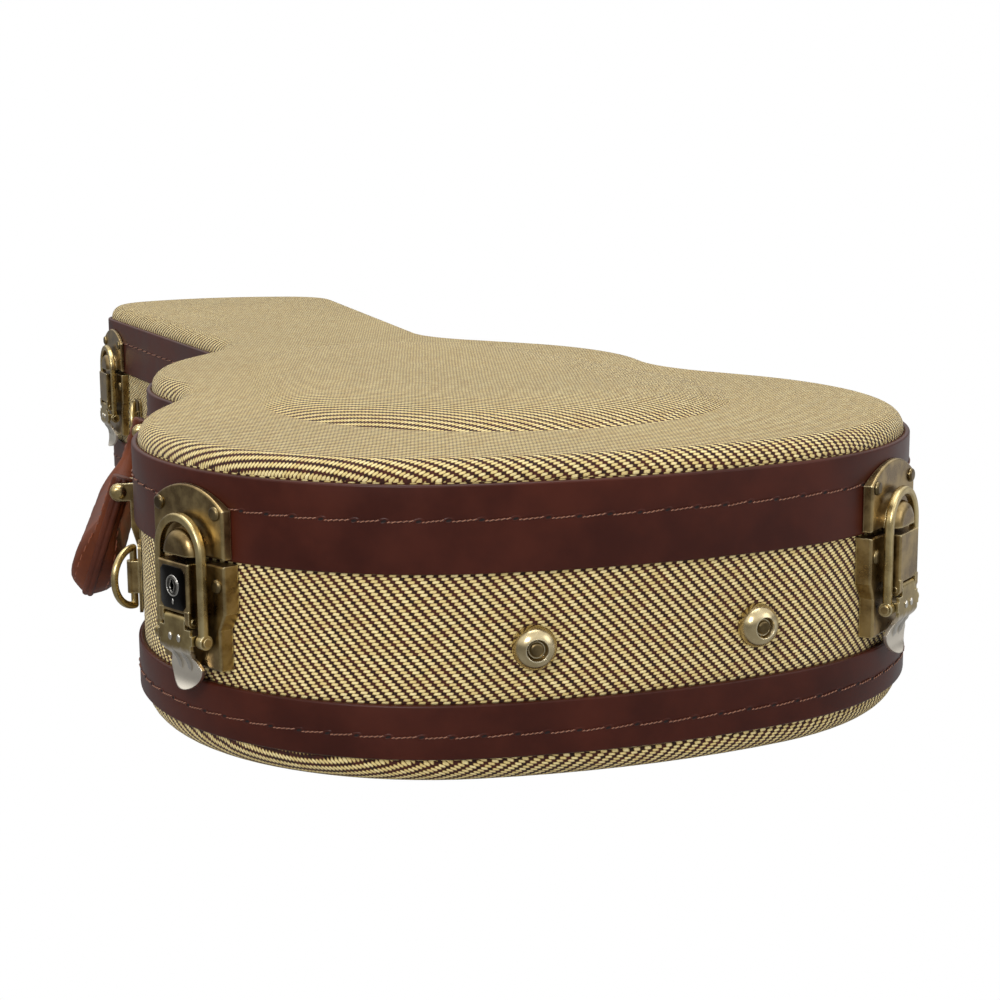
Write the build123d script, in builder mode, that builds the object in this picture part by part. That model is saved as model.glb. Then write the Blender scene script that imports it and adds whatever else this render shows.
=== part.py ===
from build123d import *
import math
import os

# Ukulele case: arched hard case with a hinged lid, three draw latches, a carrying
# handle, strap rings and end feet. Millimetres and degrees, +Z up. The origin is on
# the bottom face, at the widest station of the lower bout, and +Y runs to the head.

# Outline of the side wall, walked from the middle of the lower end to the head end
lower_end_radius = 261.0
lower_end_turn = 11.6
lower_bout_radius = 99.8
lower_bout_turn = 61.8
lower_shoulder_radius = 116.2
lower_shoulder_turn = 45.3
waist_run = 21.2
waist_radius = 69.0
waist_turn = 38.7
upper_bout_radius = 107.7
upper_bout_turn = 47.5
neck_slope_run = 31.9
neck_radius = 57.0
neck_turn = 41.6
head_run = 203.2
head_corner_radius = 33.4
head_corner_turn = 69.2

# Shells
seam_height = 65.7
top_height = 99.5
wall = 4.6
floor = 4.6
bottom_edge_radius = 8.4
top_edge_radius = 6.4

# Arched panel of the lid
arch_height = 5.6
arch_lower_radius = 84.0
arch_lower_y = 28.0
arch_upper_radius = 64.0
arch_upper_y = 142.0
arch_slope = 40.0

# Leather binding bands
band_thickness = 2.0
glue_gap = 0.15
lower_band_bottom = 9.0
lower_band_top = 26.0
upper_band_top = 92.7
band_edge_radius = 0.7

# Dust lip inside the seam
lip_thickness = 2.4
lip_height = 6.0
lip_depth = 14.0
lip_clearance = 0.4

# Plush lining and what sits in it
soft_gap = 0.3
lining_floor = 5.0
lining_drop = 1.2
lid_lining_thickness = 3.0
lid_lining_lift = 2.0
body_lower_radius = 103.0
body_lower_y = 13.0
body_upper_radius = 77.0
body_upper_y = 115.0
body_waist_radius = 40.0
channel_width = 66.0
channel_end_y = 300.0
neck_width = 52.0
headstock_width = 82.0
headstock_start_y = 385.0
headstock_end_y = 488.0
recess_fillet = 9.0

box_length = 92.0
box_height = 28.0
box_wall = 2.4
box_start_y = 196.0
flap_thickness = 2.6
flap_gap = 0.3
flap_pin = 0.7
tab_length = 14.0
cradle_length = 18.0
cradle_drop = 6.5
cradle_notch_radius = 21.0
cradle_notch_depth = 15.0

# Draw latches: across, up and outward from the wall at the seam
plate_face = 4.0
sheet = 1.1
rim_depth = 6.0
seat_gap = 0.25
plate_half_width = 18.5
striker_shoulder = 16.0
striker_crown = 22.4
plate_gap = 1.0
base_plate_clearance = 5.2
base_plate_foot = 15.5
base_plate_step = 16.0
base_plate_taper = 5.5
catch_radius = 8.2
catch_out = 5.2
housing_half_width = 8.0
housing_drop = 17.0
housing_out = 6.0
lever_pivot_drop = 19.3
lever_pivot_out = 8.2
knuckle_radius = 1.9
pin_radius = 1.0
running_gap = 0.05
side_gap = 0.3
bail_inner = 9.8
bail_bar = 2.8
bail_depth = 2.8
bail_out = 5.6
bail_top_gap = 1.8
bail_pivot_drop = 25.2
bail_pivot_out = 6.8
bail_ear_radius = 2.3
cheek = 1.0
lever_sheet = 1.2
lever_half_width = 8.2
tab_neck_half = 5.4
tab_half_width = 8.4
tab_drop = 41.0
lever_plate_run = 8.0
tab_turn_radius = 3.0
tab_straight = 0.6
tab_curl_radius = 9.0
cheek_start = 2.3
lug_width = 2.2
lock_radius = 3.0
lock_drop = 8.6
lock_depth = 4.0
lock_proud = 0.5
rivet_head = 2.3
rivet_rise = 1.0
rivet_shank = 1.2
rivet_across = 14.8
striker_rivet_up = 15.0
base_rivet_down = 7.5

# Lid hinges
hinge_length = 26.0
hinge_leaf = 16.0
hinge_sheet = 1.0
hinge_knuckle = 2.4
hinge_pin = 1.2
hinge_rivet_across = 8.0
hinge_rivet_up = 10.5

# Handle
handle_pivot_rise = 5.3
handle_pivot_out = 10.5
handle_lean = 19.0
handle_drop = 41.0
handle_grip = 20.0
handle_leg = 9.0
handle_thick = 17.0
handle_edge_radius = 2.5
handle_shoulder = 8.0
handle_pin = 1.6
ear = 1.6
ear_radius = 3.1
bracket_drop = 4.2
bracket_length = 17.5
bracket_half_width = 9.0

# Strap rings
ring_wire = 1.25
ring_radius = 10.0
ring_out = 3.1
ring_plate_half = 5.5
ring_plate_height = 24.0
ring_curl = 2.3
ring_curl_half = 5.6
body_ring_drop = 0.85
body_ring_swing = 52.0
head_ring_drop = 3.85
head_ring_swing = 68.0

# Feet on the lower end
foot_radius = 6.9
foot_rise = 5.6
foot_spacing = 74.0
foot_height = 42.5
foot_hollow = 2.6
foot_hollow_depth = 1.6

os.makedirs("parts", exist_ok=True)

stretches = [
    ("lower_end", lower_end_radius, lower_end_turn),
    ("lower_bout", lower_bout_radius, lower_bout_turn),
    ("lower_shoulder", lower_shoulder_radius, lower_shoulder_turn),
    ("waist_run", None, waist_run),
    ("waist", waist_radius, -waist_turn),
    ("upper_bout", upper_bout_radius, upper_bout_turn),
    ("neck_slope", None, neck_slope_run),
    ("neck", neck_radius, -neck_turn),
    ("head_side", None, head_run),
    ("head_corner", head_corner_radius, head_corner_turn),
]


def heading_vector(heading):
    return math.cos(math.radians(heading)), math.sin(math.radians(heading))


def walk(growth, start_y):
    """Right half of the outline, grown outward: name, x, y, heading, radius, turn or length."""
    x, y, heading = 0.0, start_y - growth, 0.0
    steps = []
    for name, radius, amount in stretches:
        ahead_x, ahead_y = heading_vector(heading)
        if radius is None:
            steps.append((name, x, y, heading, None, amount))
            x += ahead_x * amount
            y += ahead_y * amount
            continue
        side = math.copysign(1.0, amount)
        reach = radius + side * growth
        steps.append((name, x, y, heading, reach, amount))
        centre_x = x - ahead_y * side * reach
        centre_y = y + ahead_x * side * reach
        heading += amount
        ahead_x, ahead_y = heading_vector(heading)
        x = centre_x + ahead_y * side * reach
        y = centre_y - ahead_x * side * reach
    end_turn = 180.0 - heading
    end_radius = x / math.sin(math.radians(end_turn))
    steps.append(("head_end", x, y, heading, end_radius, end_turn))
    return steps


def arc_centre(growth, start_y, wanted):
    for name, x, y, heading, radius, amount in walk(growth, start_y):
        if name == wanted:
            ahead_x, ahead_y = heading_vector(heading)
            return x - ahead_y * radius, y + ahead_x * radius


lower_end_y = -arc_centre(0.0, 0.0, "lower_shoulder")[1]


def station(wanted, share, side):
    """Point on the side wall and its outward normal; side is 1 on the right, -1 on the left."""
    for name, x, y, heading, radius, amount in walk(0.0, lower_end_y):
        if name == wanted:
            break
    ahead_x, ahead_y = heading_vector(heading)
    if radius is None:
        x += ahead_x * amount * share
        y += ahead_y * amount * share
    else:
        bend = math.copysign(1.0, amount)
        centre_x = x - ahead_y * bend * radius
        centre_y = y + ahead_x * bend * radius
        heading += amount * share
        ahead_x, ahead_y = heading_vector(heading)
        x = centre_x + ahead_y * bend * radius
        y = centre_y - ahead_x * bend * radius
    return (side * x, y), (side * ahead_y, -ahead_x)


def wall_plane(point, normal, height):
    """Plane on the wall: X across, Y up, Z outward."""
    return Plane(
        origin=(point[0], point[1], height),
        x_dir=(-normal[1], normal[0], 0),
        z_dir=(normal[0], normal[1], 0),
    )


def outline(growth):
    with BuildSketch() as sheet_face:
        with BuildLine() as half:
            for name, x, y, heading, radius, amount in walk(growth, lower_end_y):
                ahead = heading_vector(heading)
                if radius is None:
                    Line((x, y), (x + ahead[0] * amount, y + ahead[1] * amount))
                else:
                    JernArc((x, y), ahead, radius, amount)
            mirror(half.line, about=Plane.YZ)
        make_face()
    return sheet_face.sketch


def save(shape, name):
    shape.label = name
    export_step(shape, f"parts/{name}.step")


def wall_prism(growth):
    with BuildPart() as prism:
        with BuildSketch():
            add(outline(growth))
        extrude(amount=top_height)
    return prism.part


# Base shell: bent plywood wall and floor under tweed cloth
with BuildPart() as base_shell:
    with BuildSketch():
        add(outline(0))
    extrude(amount=seam_height)
    fillet(base_shell.faces().sort_by(Axis.Z)[0].edges(), bottom_edge_radius)
    with BuildSketch(Plane.XY.offset(floor)):
        add(outline(-wall))
    extrude(amount=seam_height, mode=Mode.SUBTRACT)
save(base_shell.part, "base_shell")


def arch_panel(growth, base):
    """Low panel over both bouts, steep at its foot and nearly flat on top."""
    with BuildPart() as panel:
        for share, rise in ((0.0, 0.0), (0.2, 0.5), (0.5, 0.84), (1.0, 1.0)):
            inset = arch_slope * share
            with BuildSketch(Plane.XY.offset(base + arch_height * rise)):
                with Locations((0, arch_lower_y)):
                    Circle(arch_lower_radius + growth - inset)
                with Locations((0, arch_upper_y)):
                    Circle(arch_upper_radius + growth - inset)
                make_hull()
        loft()
    return panel.part


# Lid shell: shallow tray with a rolled edge and an arched panel over the body
with BuildPart() as lid_shell:
    with BuildSketch(Plane.XY.offset(seam_height)):
        add(outline(0))
    extrude(amount=top_height - seam_height)
    fillet(lid_shell.faces().sort_by(Axis.Z)[-1].edges(), top_edge_radius)
    add(arch_panel(0, top_height))
    with BuildSketch(Plane.XY.offset(seam_height)):
        add(outline(-wall))
    extrude(amount=top_height - seam_height - wall, mode=Mode.SUBTRACT)
    add(arch_panel(-wall, top_height - wall), mode=Mode.SUBTRACT)
save(lid_shell.part, "lid_shell")


def binding_band(bottom, top):
    with BuildPart() as band:
        with BuildSketch(Plane.XY.offset(bottom)):
            add(outline(glue_gap + band_thickness))
            add(outline(glue_gap), mode=Mode.SUBTRACT)
        extrude(amount=top - bottom)
        outer = band.faces().sort_by(Axis.Z)
        for rim in (outer[0], outer[-1]):
            fillet(rim.outer_wire().edges(), band_edge_radius)
    return band.part


# Leather bands glued and stitched round both shells
band_growth = glue_gap + band_thickness
save(binding_band(lower_band_bottom, lower_band_top), "base_binding_band")
save(binding_band(seam_height, upper_band_top), "lid_binding_band")


# Dust lip: thin rim that stands out of the base and closes inside the lid
lip_growth = -wall - lip_clearance
with BuildPart() as dust_lip:
    with BuildSketch(Plane.XY.offset(seam_height - lip_depth)):
        add(outline(lip_growth))
        add(outline(lip_growth - lip_thickness), mode=Mode.SUBTRACT)
    extrude(amount=lip_depth + lip_height)
    fillet(dust_lip.faces().sort_by(Axis.Z)[-1].edges(), lip_thickness * 0.3)
save(dust_lip.part, "dust_lip")


# Base lining: plush over foam, with a recess shaped for the instrument
lining_growth = lip_growth - lip_thickness - soft_gap
lining_base = floor + soft_gap
lining_top = seam_height - lining_drop
recess_base = lining_base + lining_floor
bout_gap = body_upper_y - body_lower_y
lower_reach = body_lower_radius + body_waist_radius
upper_reach = body_upper_radius + body_waist_radius
waist_y = body_lower_y + (bout_gap**2 + lower_reach**2 - upper_reach**2) / (2 * bout_gap)
waist_x = math.sqrt(lower_reach**2 - (waist_y - body_lower_y) ** 2)
with BuildPart() as base_lining:
    with BuildSketch(Plane.XY.offset(lining_base)):
        add(outline(lining_growth))
    extrude(amount=lining_top - lining_base)
    with BuildSketch(Plane.XY.offset(recess_base)):
        Polygon(
            (0, body_lower_y),
            (waist_x, waist_y),
            (0, body_upper_y),
            (-waist_x, waist_y),
            align=None,
        )
        with Locations((waist_x, waist_y), (-waist_x, waist_y)):
            Circle(body_waist_radius, mode=Mode.SUBTRACT)
        with Locations((0, body_lower_y)):
            Circle(body_lower_radius)
        with Locations((0, body_upper_y)):
            Circle(body_upper_radius)
    extrude(amount=seam_height, mode=Mode.SUBTRACT)
    with BuildSketch(Plane.XY.offset(recess_base)):
        with Locations((0, (body_upper_y + headstock_start_y) / 2)):
            Rectangle(neck_width, headstock_start_y - body_upper_y + recess_fillet)
        with Locations((0, (headstock_start_y + headstock_end_y) / 2)):
            RectangleRounded(headstock_width, headstock_end_y - headstock_start_y, recess_fillet)
    extrude(amount=seam_height, mode=Mode.SUBTRACT)
    with BuildSketch(Plane.XY.offset(lining_base)):
        with Locations((0, (box_start_y + channel_end_y) / 2 + cradle_length / 2)):
            Rectangle(channel_width, channel_end_y + cradle_length - box_start_y)
    extrude(amount=seam_height, mode=Mode.SUBTRACT)
save(base_lining.part, "base_lining")


# Lid lining: plush tray glued under the lid, its skirt ending above the dust lip
lid_lining_growth = -wall - soft_gap
lid_lining_top = top_height - wall - soft_gap
lid_lining_bottom = seam_height + lip_height + lid_lining_lift
with BuildPart() as lid_lining:
    with BuildSketch(Plane.XY.offset(lid_lining_bottom)):
        add(outline(lid_lining_growth))
    extrude(amount=lid_lining_top - lid_lining_bottom)
    with BuildSketch(Plane.XY.offset(lid_lining_bottom)):
        add(outline(lid_lining_growth - lid_lining_thickness))
    extrude(amount=lid_lining_top - lid_lining_thickness - lid_lining_bottom, mode=Mode.SUBTRACT)
save(lid_lining.part, "lid_lining")


# Accessory box under the neck, with a hinged flap and a pull tab
box_width = channel_width - 2 * soft_gap
box_base = floor + soft_gap
box_mid_y = box_start_y + soft_gap + box_length / 2
flap_base = box_height + flap_gap
flap_bead = flap_thickness / 2
flap_hinge_x = -box_width / 2 + flap_bead + flap_gap
flap_hinge_z = flap_base + flap_bead
flap_end_x = box_width / 2 - flap_gap
flap_length = box_length - 2 * box_wall - 2 * flap_gap
with BuildPart() as accessory_box:
    with BuildSketch(Plane.XY.offset(box_base)):
        with Locations((0, box_mid_y)):
            Rectangle(box_width, box_length)
    extrude(amount=box_height - box_base)
    with BuildSketch(Plane.XY.offset(box_base + box_wall)):
        with Locations((0, box_mid_y)):
            RectangleRounded(box_width - 2 * box_wall, box_length - 2 * box_wall, box_wall)
    extrude(amount=box_height, mode=Mode.SUBTRACT)
    for side in (-1, 1):
        with BuildSketch(Plane.XZ.offset(-box_mid_y - side * (box_length - box_wall) / 2)):
            with Locations((flap_hinge_x, flap_hinge_z)):
                Circle(flap_bead)
            with Locations((flap_hinge_x, flap_hinge_z - flap_bead)):
                Rectangle(2 * flap_bead, 2 * flap_bead)
        extrude(amount=box_wall / 2, both=True)
    with BuildSketch(Plane.XZ.offset(-box_mid_y)):
        with Locations((flap_hinge_x, flap_hinge_z)):
            Circle(flap_pin + running_gap)
    extrude(amount=box_length, both=True, mode=Mode.SUBTRACT)
save(accessory_box.part, "accessory_box")

with BuildPart() as accessory_flap:
    with BuildSketch(Plane.XZ.offset(-box_mid_y)):
        with Locations(((flap_hinge_x + flap_end_x) / 2, flap_hinge_z)):
            Rectangle(flap_end_x - flap_hinge_x, flap_thickness)
        with Locations((flap_hinge_x, flap_hinge_z)):
            Circle(flap_bead)
            Circle(flap_pin + running_gap, mode=Mode.SUBTRACT)
    extrude(amount=flap_length / 2, both=True)
save(accessory_flap.part, "accessory_flap")

with BuildPart() as flap_hinge_pin:
    with BuildSketch(Plane.XZ.offset(-box_mid_y)):
        with Locations((flap_hinge_x, flap_hinge_z)):
            Circle(flap_pin)
    extrude(amount=box_length / 2, both=True)
save(flap_hinge_pin.part, "flap_hinge_pin")

with BuildPart() as flap_tab:
    with BuildSketch(Plane.XY.offset(flap_base + flap_thickness + soft_gap)):
        with Locations((flap_end_x - tab_length / 2, box_mid_y)):
            SlotOverall(tab_length, tab_length * 0.7)
    extrude(amount=sheet)
save(flap_tab.part, "flap_pull_tab")


# Neck cradle: padded block with a round notch
cradle_top = lining_top - cradle_drop
cradle_y = box_start_y + 2 * soft_gap + box_length + cradle_length / 2 + soft_gap
with BuildPart() as neck_cradle:
    with BuildSketch(Plane.XZ.offset(-cradle_y)):
        with Locations((0, (box_base + cradle_top) / 2)):
            Rectangle(box_width, cradle_top - box_base)
        with Locations((0, cradle_top - cradle_notch_depth + cradle_notch_radius)):
            Circle(cradle_notch_radius, mode=Mode.SUBTRACT)
    extrude(amount=cradle_length / 2, both=True)
    fillet(neck_cradle.edges().filter_by(GeomType.CIRCLE), cradle_length * 0.15)
save(neck_cradle.part, "neck_cradle")


# Latch pieces, each made about the point where its centre line crosses the seam. Plates
# and clips start with deep rims, which are cut back to the wall once they are in place.
base_plate_drop = seam_height - lower_band_top - base_plate_clearance
under_base = wall_prism(seat_gap)
under_lid = wall_prism(band_growth + seat_gap)


def pressed_plate(profile):
    """Pressed sheet with a turned rim."""
    with BuildPart() as plate:
        with BuildSketch(Plane.XY.offset(-rim_depth)):
            add(profile)
        extrude(amount=plate_face + rim_depth)
        fillet(plate.faces().sort_by(Axis.Z)[-1].edges(), sheet * 0.7)
        with BuildSketch(Plane.XY.offset(-rim_depth)):
            add(profile)
            offset(amount=-sheet, mode=Mode.REPLACE)
        extrude(amount=plate_face + rim_depth - sheet, mode=Mode.SUBTRACT)
    return plate.part


def striker_profile():
    with BuildSketch() as face:
        with BuildLine():
            Polyline(
                (-plate_half_width, striker_shoulder),
                (-plate_half_width, plate_gap),
                (plate_half_width, plate_gap),
                (plate_half_width, striker_shoulder),
            )
            ThreePointArc(
                (plate_half_width, striker_shoulder),
                (0, striker_crown),
                (-plate_half_width, striker_shoulder),
            )
        make_face()
    return face.sketch


def rivet_bores(spots):
    with BuildPart() as bores:
        with BuildSketch(Plane.XY.offset(plate_face)):
            with Locations(*spots):
                Circle(rivet_shank + running_gap)
        extrude(amount=-2 * sheet)
    return bores.part


striker_rivets = [(-rivet_across, striker_rivet_up), (rivet_across, striker_rivet_up)]
base_rivets = [(-rivet_across, -base_rivet_down), (rivet_across, -base_rivet_down)]


def striker_plate():
    """Lid half of the latch: arched plate with the round nose that the bail hooks over."""
    with BuildPart() as striker:
        add(pressed_plate(striker_profile()))
        add(rivet_bores(striker_rivets), mode=Mode.SUBTRACT)
        with BuildSketch(Plane.XY.offset(plate_face - sheet / 2)):
            with BuildLine():
                ThreePointArc(
                    (catch_radius, plate_gap),
                    (0, catch_radius + plate_gap),
                    (-catch_radius, plate_gap),
                )
                Line((-catch_radius, plate_gap), (catch_radius, plate_gap))
            make_face()
        extrude(amount=catch_out + sheet / 2)
        rim = striker.faces().sort_by(Axis.Z)[-1].edges().filter_by(GeomType.CIRCLE)
        fillet(rim, catch_out * 0.65)
    return striker.part


def base_plate():
    """Base half: plate with square shoulders that narrows below the lock housing."""
    with BuildSketch() as face:
        with BuildLine():
            Polyline(
                (-plate_half_width, -plate_gap),
                (plate_half_width, -plate_gap),
                (plate_half_width, -base_plate_step),
                (base_plate_foot, -base_plate_step - base_plate_taper),
                (base_plate_foot, -base_plate_drop),
                (-base_plate_foot, -base_plate_drop),
                (-base_plate_foot, -base_plate_step - base_plate_taper),
                (-plate_half_width, -base_plate_step),
                close=True,
            )
        make_face()
    with BuildPart() as plate:
        add(pressed_plate(face.sketch))
        add(rivet_bores(base_rivets), mode=Mode.SUBTRACT)
    return plate.part


def latch_housing(locked):
    """Raised case on the base plate; its two lugs hold the lever pin."""
    with BuildPart() as housing:
        with BuildSketch(Plane.XY.offset(plate_face)):
            with Locations((0, -(plate_gap + housing_drop) / 2)):
                Rectangle(2 * housing_half_width, housing_drop - plate_gap)
        extrude(amount=housing_out)
        fillet(housing.faces().sort_by(Axis.Z)[-1].edges(), sheet * 0.6)
        for side in (-1, 1):
            with BuildSketch(Plane.YZ.offset(side * (housing_half_width - lug_width / 2))):
                with Locations((-lever_pivot_drop, lever_pivot_out)):
                    Circle(knuckle_radius)
                with Locations((-(housing_drop - 1 + lever_pivot_drop) / 2, lever_pivot_out)):
                    Rectangle(lever_pivot_drop - housing_drop + 1, 2 * knuckle_radius)
            extrude(amount=lug_width / 2, both=True)
        with BuildSketch(Plane.YZ):
            with Locations((-lever_pivot_drop, lever_pivot_out)):
                Circle(pin_radius + running_gap)
        extrude(amount=2 * housing_half_width, both=True, mode=Mode.SUBTRACT)
        if locked:
            with BuildSketch(Plane.XY.offset(plate_face + housing_out)):
                with Locations((0, -lock_drop)):
                    Circle(lock_radius + running_gap)
            extrude(amount=-lock_depth - running_gap, mode=Mode.SUBTRACT)
    return housing.part


def lever_pin():
    with BuildPart() as pin:
        with BuildSketch(Plane.YZ):
            with Locations((-lever_pivot_drop, lever_pivot_out)):
                Circle(pin_radius)
        extrude(amount=housing_half_width + 0.2, both=True)
    return pin.part


def lever():
    """Thumb lever: knuckle, plate, two cheeks for the bail and a flared ribbed tab."""
    front = lever_pivot_out + knuckle_radius - lever_sheet / 2
    knuckle_half = housing_half_width - lug_width - side_gap
    with BuildPart() as arm:
        with BuildSketch(Plane.YZ):
            with BuildLine():
                plate_line = Line((-lever_pivot_drop, front), (-lever_pivot_drop - lever_plate_run, front))
                turn_in = JernArc(plate_line @ 1, (-1, 0), tab_turn_radius, 46)
                run_in = Line(turn_in @ 1, (turn_in @ 1) + (turn_in % 1) * tab_straight)
                JernArc(run_in @ 1, run_in % 1, tab_curl_radius, -92)
            trace(line_width=lever_sheet)
        extrude(amount=tab_half_width, both=True)
        with BuildSketch():
            with BuildLine():
                Polyline(
                    (-lever_half_width, -lever_pivot_drop - cheek_start),
                    (-lever_half_width, -lever_pivot_drop - lever_plate_run - 1),
                    (-tab_neck_half, -lever_pivot_drop - lever_plate_run - 4),
                    (-tab_half_width, -tab_drop + 6.0),
                )
                ThreePointArc(
                    (-tab_half_width, -tab_drop + 6.0),
                    (0, -tab_drop - 1),
                    (tab_half_width, -tab_drop + 6.0),
                )
                Polyline(
                    (tab_half_width, -tab_drop + 6.0),
                    (tab_neck_half, -lever_pivot_drop - lever_plate_run - 4),
                    (lever_half_width, -lever_pivot_drop - lever_plate_run - 1),
                    (lever_half_width, -lever_pivot_drop - cheek_start),
                    (knuckle_half, -lever_pivot_drop - cheek_start),
                    (knuckle_half, -lever_pivot_drop + 0.2),
                    (-knuckle_half, -lever_pivot_drop + 0.2),
                    (-knuckle_half, -lever_pivot_drop - cheek_start),
                    (-lever_half_width, -lever_pivot_drop - cheek_start),
                )
            make_face()
        extrude(amount=40, mode=Mode.INTERSECT)
        with BuildSketch(Plane.YZ):
            with Locations((-lever_pivot_drop, lever_pivot_out)):
                Circle(knuckle_radius)
        extrude(amount=knuckle_half, both=True)
        for side in (-1, 1):
            with BuildSketch(Plane.YZ.offset(side * (lever_half_width + cheek / 2))):
                with Locations((-bail_pivot_drop, bail_pivot_out)):
                    Circle(bail_ear_radius - 0.4)
                with Locations((-bail_pivot_drop + 0.3, (bail_pivot_out + front + lever_sheet / 2) / 2)):
                    Rectangle(2 * bail_ear_radius - 1.4, front + lever_sheet / 2 - bail_pivot_out)
            extrude(amount=cheek / 2, both=True)
            with BuildSketch(Plane.YZ.offset(side * lever_half_width)):
                with Locations((-bail_pivot_drop + 0.3, front)):
                    Rectangle(2 * bail_ear_radius - 1.4, lever_sheet)
            extrude(amount=cheek, both=True)
        with BuildSketch(Plane.YZ):
            with Locations((-lever_pivot_drop, lever_pivot_out)):
                Circle(pin_radius + running_gap)
            with Locations((-bail_pivot_drop, bail_pivot_out)):
                Circle(pin_radius + running_gap)
        extrude(amount=2 * housing_half_width, both=True, mode=Mode.SUBTRACT)
    return arm.part


def bail_pins():
    """Two short rivets through the lever cheeks that carry the bail."""
    with BuildPart() as pins:
        for side in (-1, 1):
            inner = lever_half_width - 0.6
            outer = bail_inner + bail_bar + 0.15
            with BuildSketch(Plane.YZ.offset(side * (inner + outer) / 2)):
                with Locations((-bail_pivot_drop, bail_pivot_out)):
                    Circle(pin_radius)
            extrude(amount=(outer - inner) / 2, both=True)
            with BuildSketch(Plane.YZ.offset(side * (outer + sheet / 4))):
                with Locations((-bail_pivot_drop, bail_pivot_out)):
                    Circle(pin_radius * 1.6)
            extrude(amount=sheet / 4, both=True)
    return pins.part


def bail():
    """Loop of flat bar that hooks over the striker nose."""
    arch_y = plate_gap + catch_radius + bail_top_gap - bail_inner
    outer = bail_inner + bail_bar
    with BuildPart() as loop:
        with BuildSketch(Plane.XY.offset(bail_out)):
            with BuildLine():
                Polyline(
                    (-outer, arch_y),
                    (-outer, -bail_pivot_drop),
                    (outer, -bail_pivot_drop),
                    (outer, arch_y),
                )
                ThreePointArc((outer, arch_y), (0, arch_y + outer), (-outer, arch_y))
            make_face()
            with BuildLine():
                Polyline(
                    (-bail_inner, arch_y),
                    (-bail_inner, -bail_pivot_drop),
                    (bail_inner, -bail_pivot_drop),
                    (bail_inner, arch_y),
                )
                ThreePointArc((bail_inner, arch_y), (0, arch_y + bail_inner), (-bail_inner, arch_y))
            make_face(mode=Mode.SUBTRACT)
        extrude(amount=bail_depth)
        rims = loop.edges().filter_by(Plane.XY).filter_by(lambda e: e.center().Y > -bail_pivot_drop + 1)
        fillet(rims, bail_depth * 0.3)
        for side in (-1, 1):
            with BuildSketch(Plane.YZ.offset(side * (bail_inner + bail_bar / 2))):
                with Locations((-bail_pivot_drop, bail_pivot_out)):
                    Circle(bail_ear_radius)
            extrude(amount=bail_bar / 2, both=True)
        with BuildSketch(Plane.YZ):
            with Locations((-bail_pivot_drop, bail_pivot_out)):
                Circle(pin_radius + running_gap)
        extrude(amount=2 * outer, both=True, mode=Mode.SUBTRACT)
    return loop.part


def lock_cylinder():
    """Key cylinder with its slot, turning in the housing."""
    with BuildPart() as plug:
        with BuildSketch(Plane.XY.offset(plate_face + housing_out - lock_depth)):
            with Locations((0, -lock_drop)):
                Circle(lock_radius)
        extrude(amount=lock_depth + lock_proud)
        fillet(plug.faces().sort_by(Axis.Z)[-1].edges(), lock_proud * 0.8)
        with BuildSketch(Plane.XY.offset(plate_face + housing_out + lock_proud)):
            with Locations((0, -lock_drop)):
                SlotOverall(lock_radius * 1.3, lock_radius * 0.45, rotation=90)
                Circle(lock_radius * 0.38)
        extrude(amount=-lock_depth * 0.7, mode=Mode.SUBTRACT)
    return plug.part


def rivet(length):
    """Domed rivet, head on the plane and shank below it."""
    with BuildPart() as nail:
        with BuildSketch(Plane.XY.offset(running_gap)):
            Circle(rivet_head)
        extrude(amount=rivet_rise)
        fillet(nail.faces().sort_by(Axis.Z)[-1].edges(), rivet_rise * 0.9)
        with BuildSketch(Plane.XY.offset(running_gap)):
            Circle(rivet_shank)
        extrude(amount=-length)
    return nail.part


def place(shape, plane, across=0.0, up=0.0, out=0.0):
    return shape.moved(plane.location * Location((across, up, out)))


def seated(shape, ground):
    return (shape - ground).solids().sort_by(SortBy.VOLUME)[-1]


def group(shapes, name):
    save(Compound(children=list(shapes)), name)


# Three latches: the one with the lock on the left, one by the hinge side, one at the head
latch_stations = {
    "lock_latch": (station("lower_bout", 0.90, -1), True),
    "end_latch": (station("lower_bout", 0.43, 1), False),
    "head_latch": (station("head_side", 0.948, -1), False),
}
plate_rivet = rivet(sheet)
lid_rivets = []
base_rivet_group = []
for latch_name, (spot, locked) in latch_stations.items():
    seat = wall_plane(*spot, seam_height)
    save(seated(place(striker_plate(), seat), under_lid), f"{latch_name}_striker")
    save(seated(place(base_plate(), seat), under_base), f"{latch_name}_base_plate")
    pieces = {
        "housing": latch_housing(locked),
        "lever_pin": lever_pin(),
        "lever": lever(),
        "bail_pins": bail_pins(),
        "bail": bail(),
    }
    if locked:
        pieces["lock_cylinder"] = lock_cylinder()
    for piece_name, shape in pieces.items():
        save(place(shape, seat), f"{latch_name}_{piece_name}")
    lid_rivets += [place(plate_rivet, seat, x, y, plate_face) for x, y in striker_rivets]
    base_rivet_group += [place(plate_rivet, seat, x, y, plate_face) for x, y in base_rivets]


# Lid hinges on the line that touches the lower bout and the head corner from outside
shoulder_centre = arc_centre(0.0, lower_end_y, "lower_shoulder")
corner_centre = arc_centre(0.0, lower_end_y, "head_corner")
run_x = corner_centre[0] - shoulder_centre[0]
run_y = corner_centre[1] - shoulder_centre[1]
spread = math.acos((lower_shoulder_radius - head_corner_radius) / math.hypot(run_x, run_y))
hinge_angle = math.degrees(math.atan2(run_y, run_x) - spread)
hinge_normal = heading_vector(hinge_angle)
hinge_out = band_growth + side_gap + hinge_knuckle
hinge_seats = {
    "lower_hinge": (shoulder_centre, lower_shoulder_radius),
    "head_hinge": (corner_centre, head_corner_radius),
}


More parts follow.
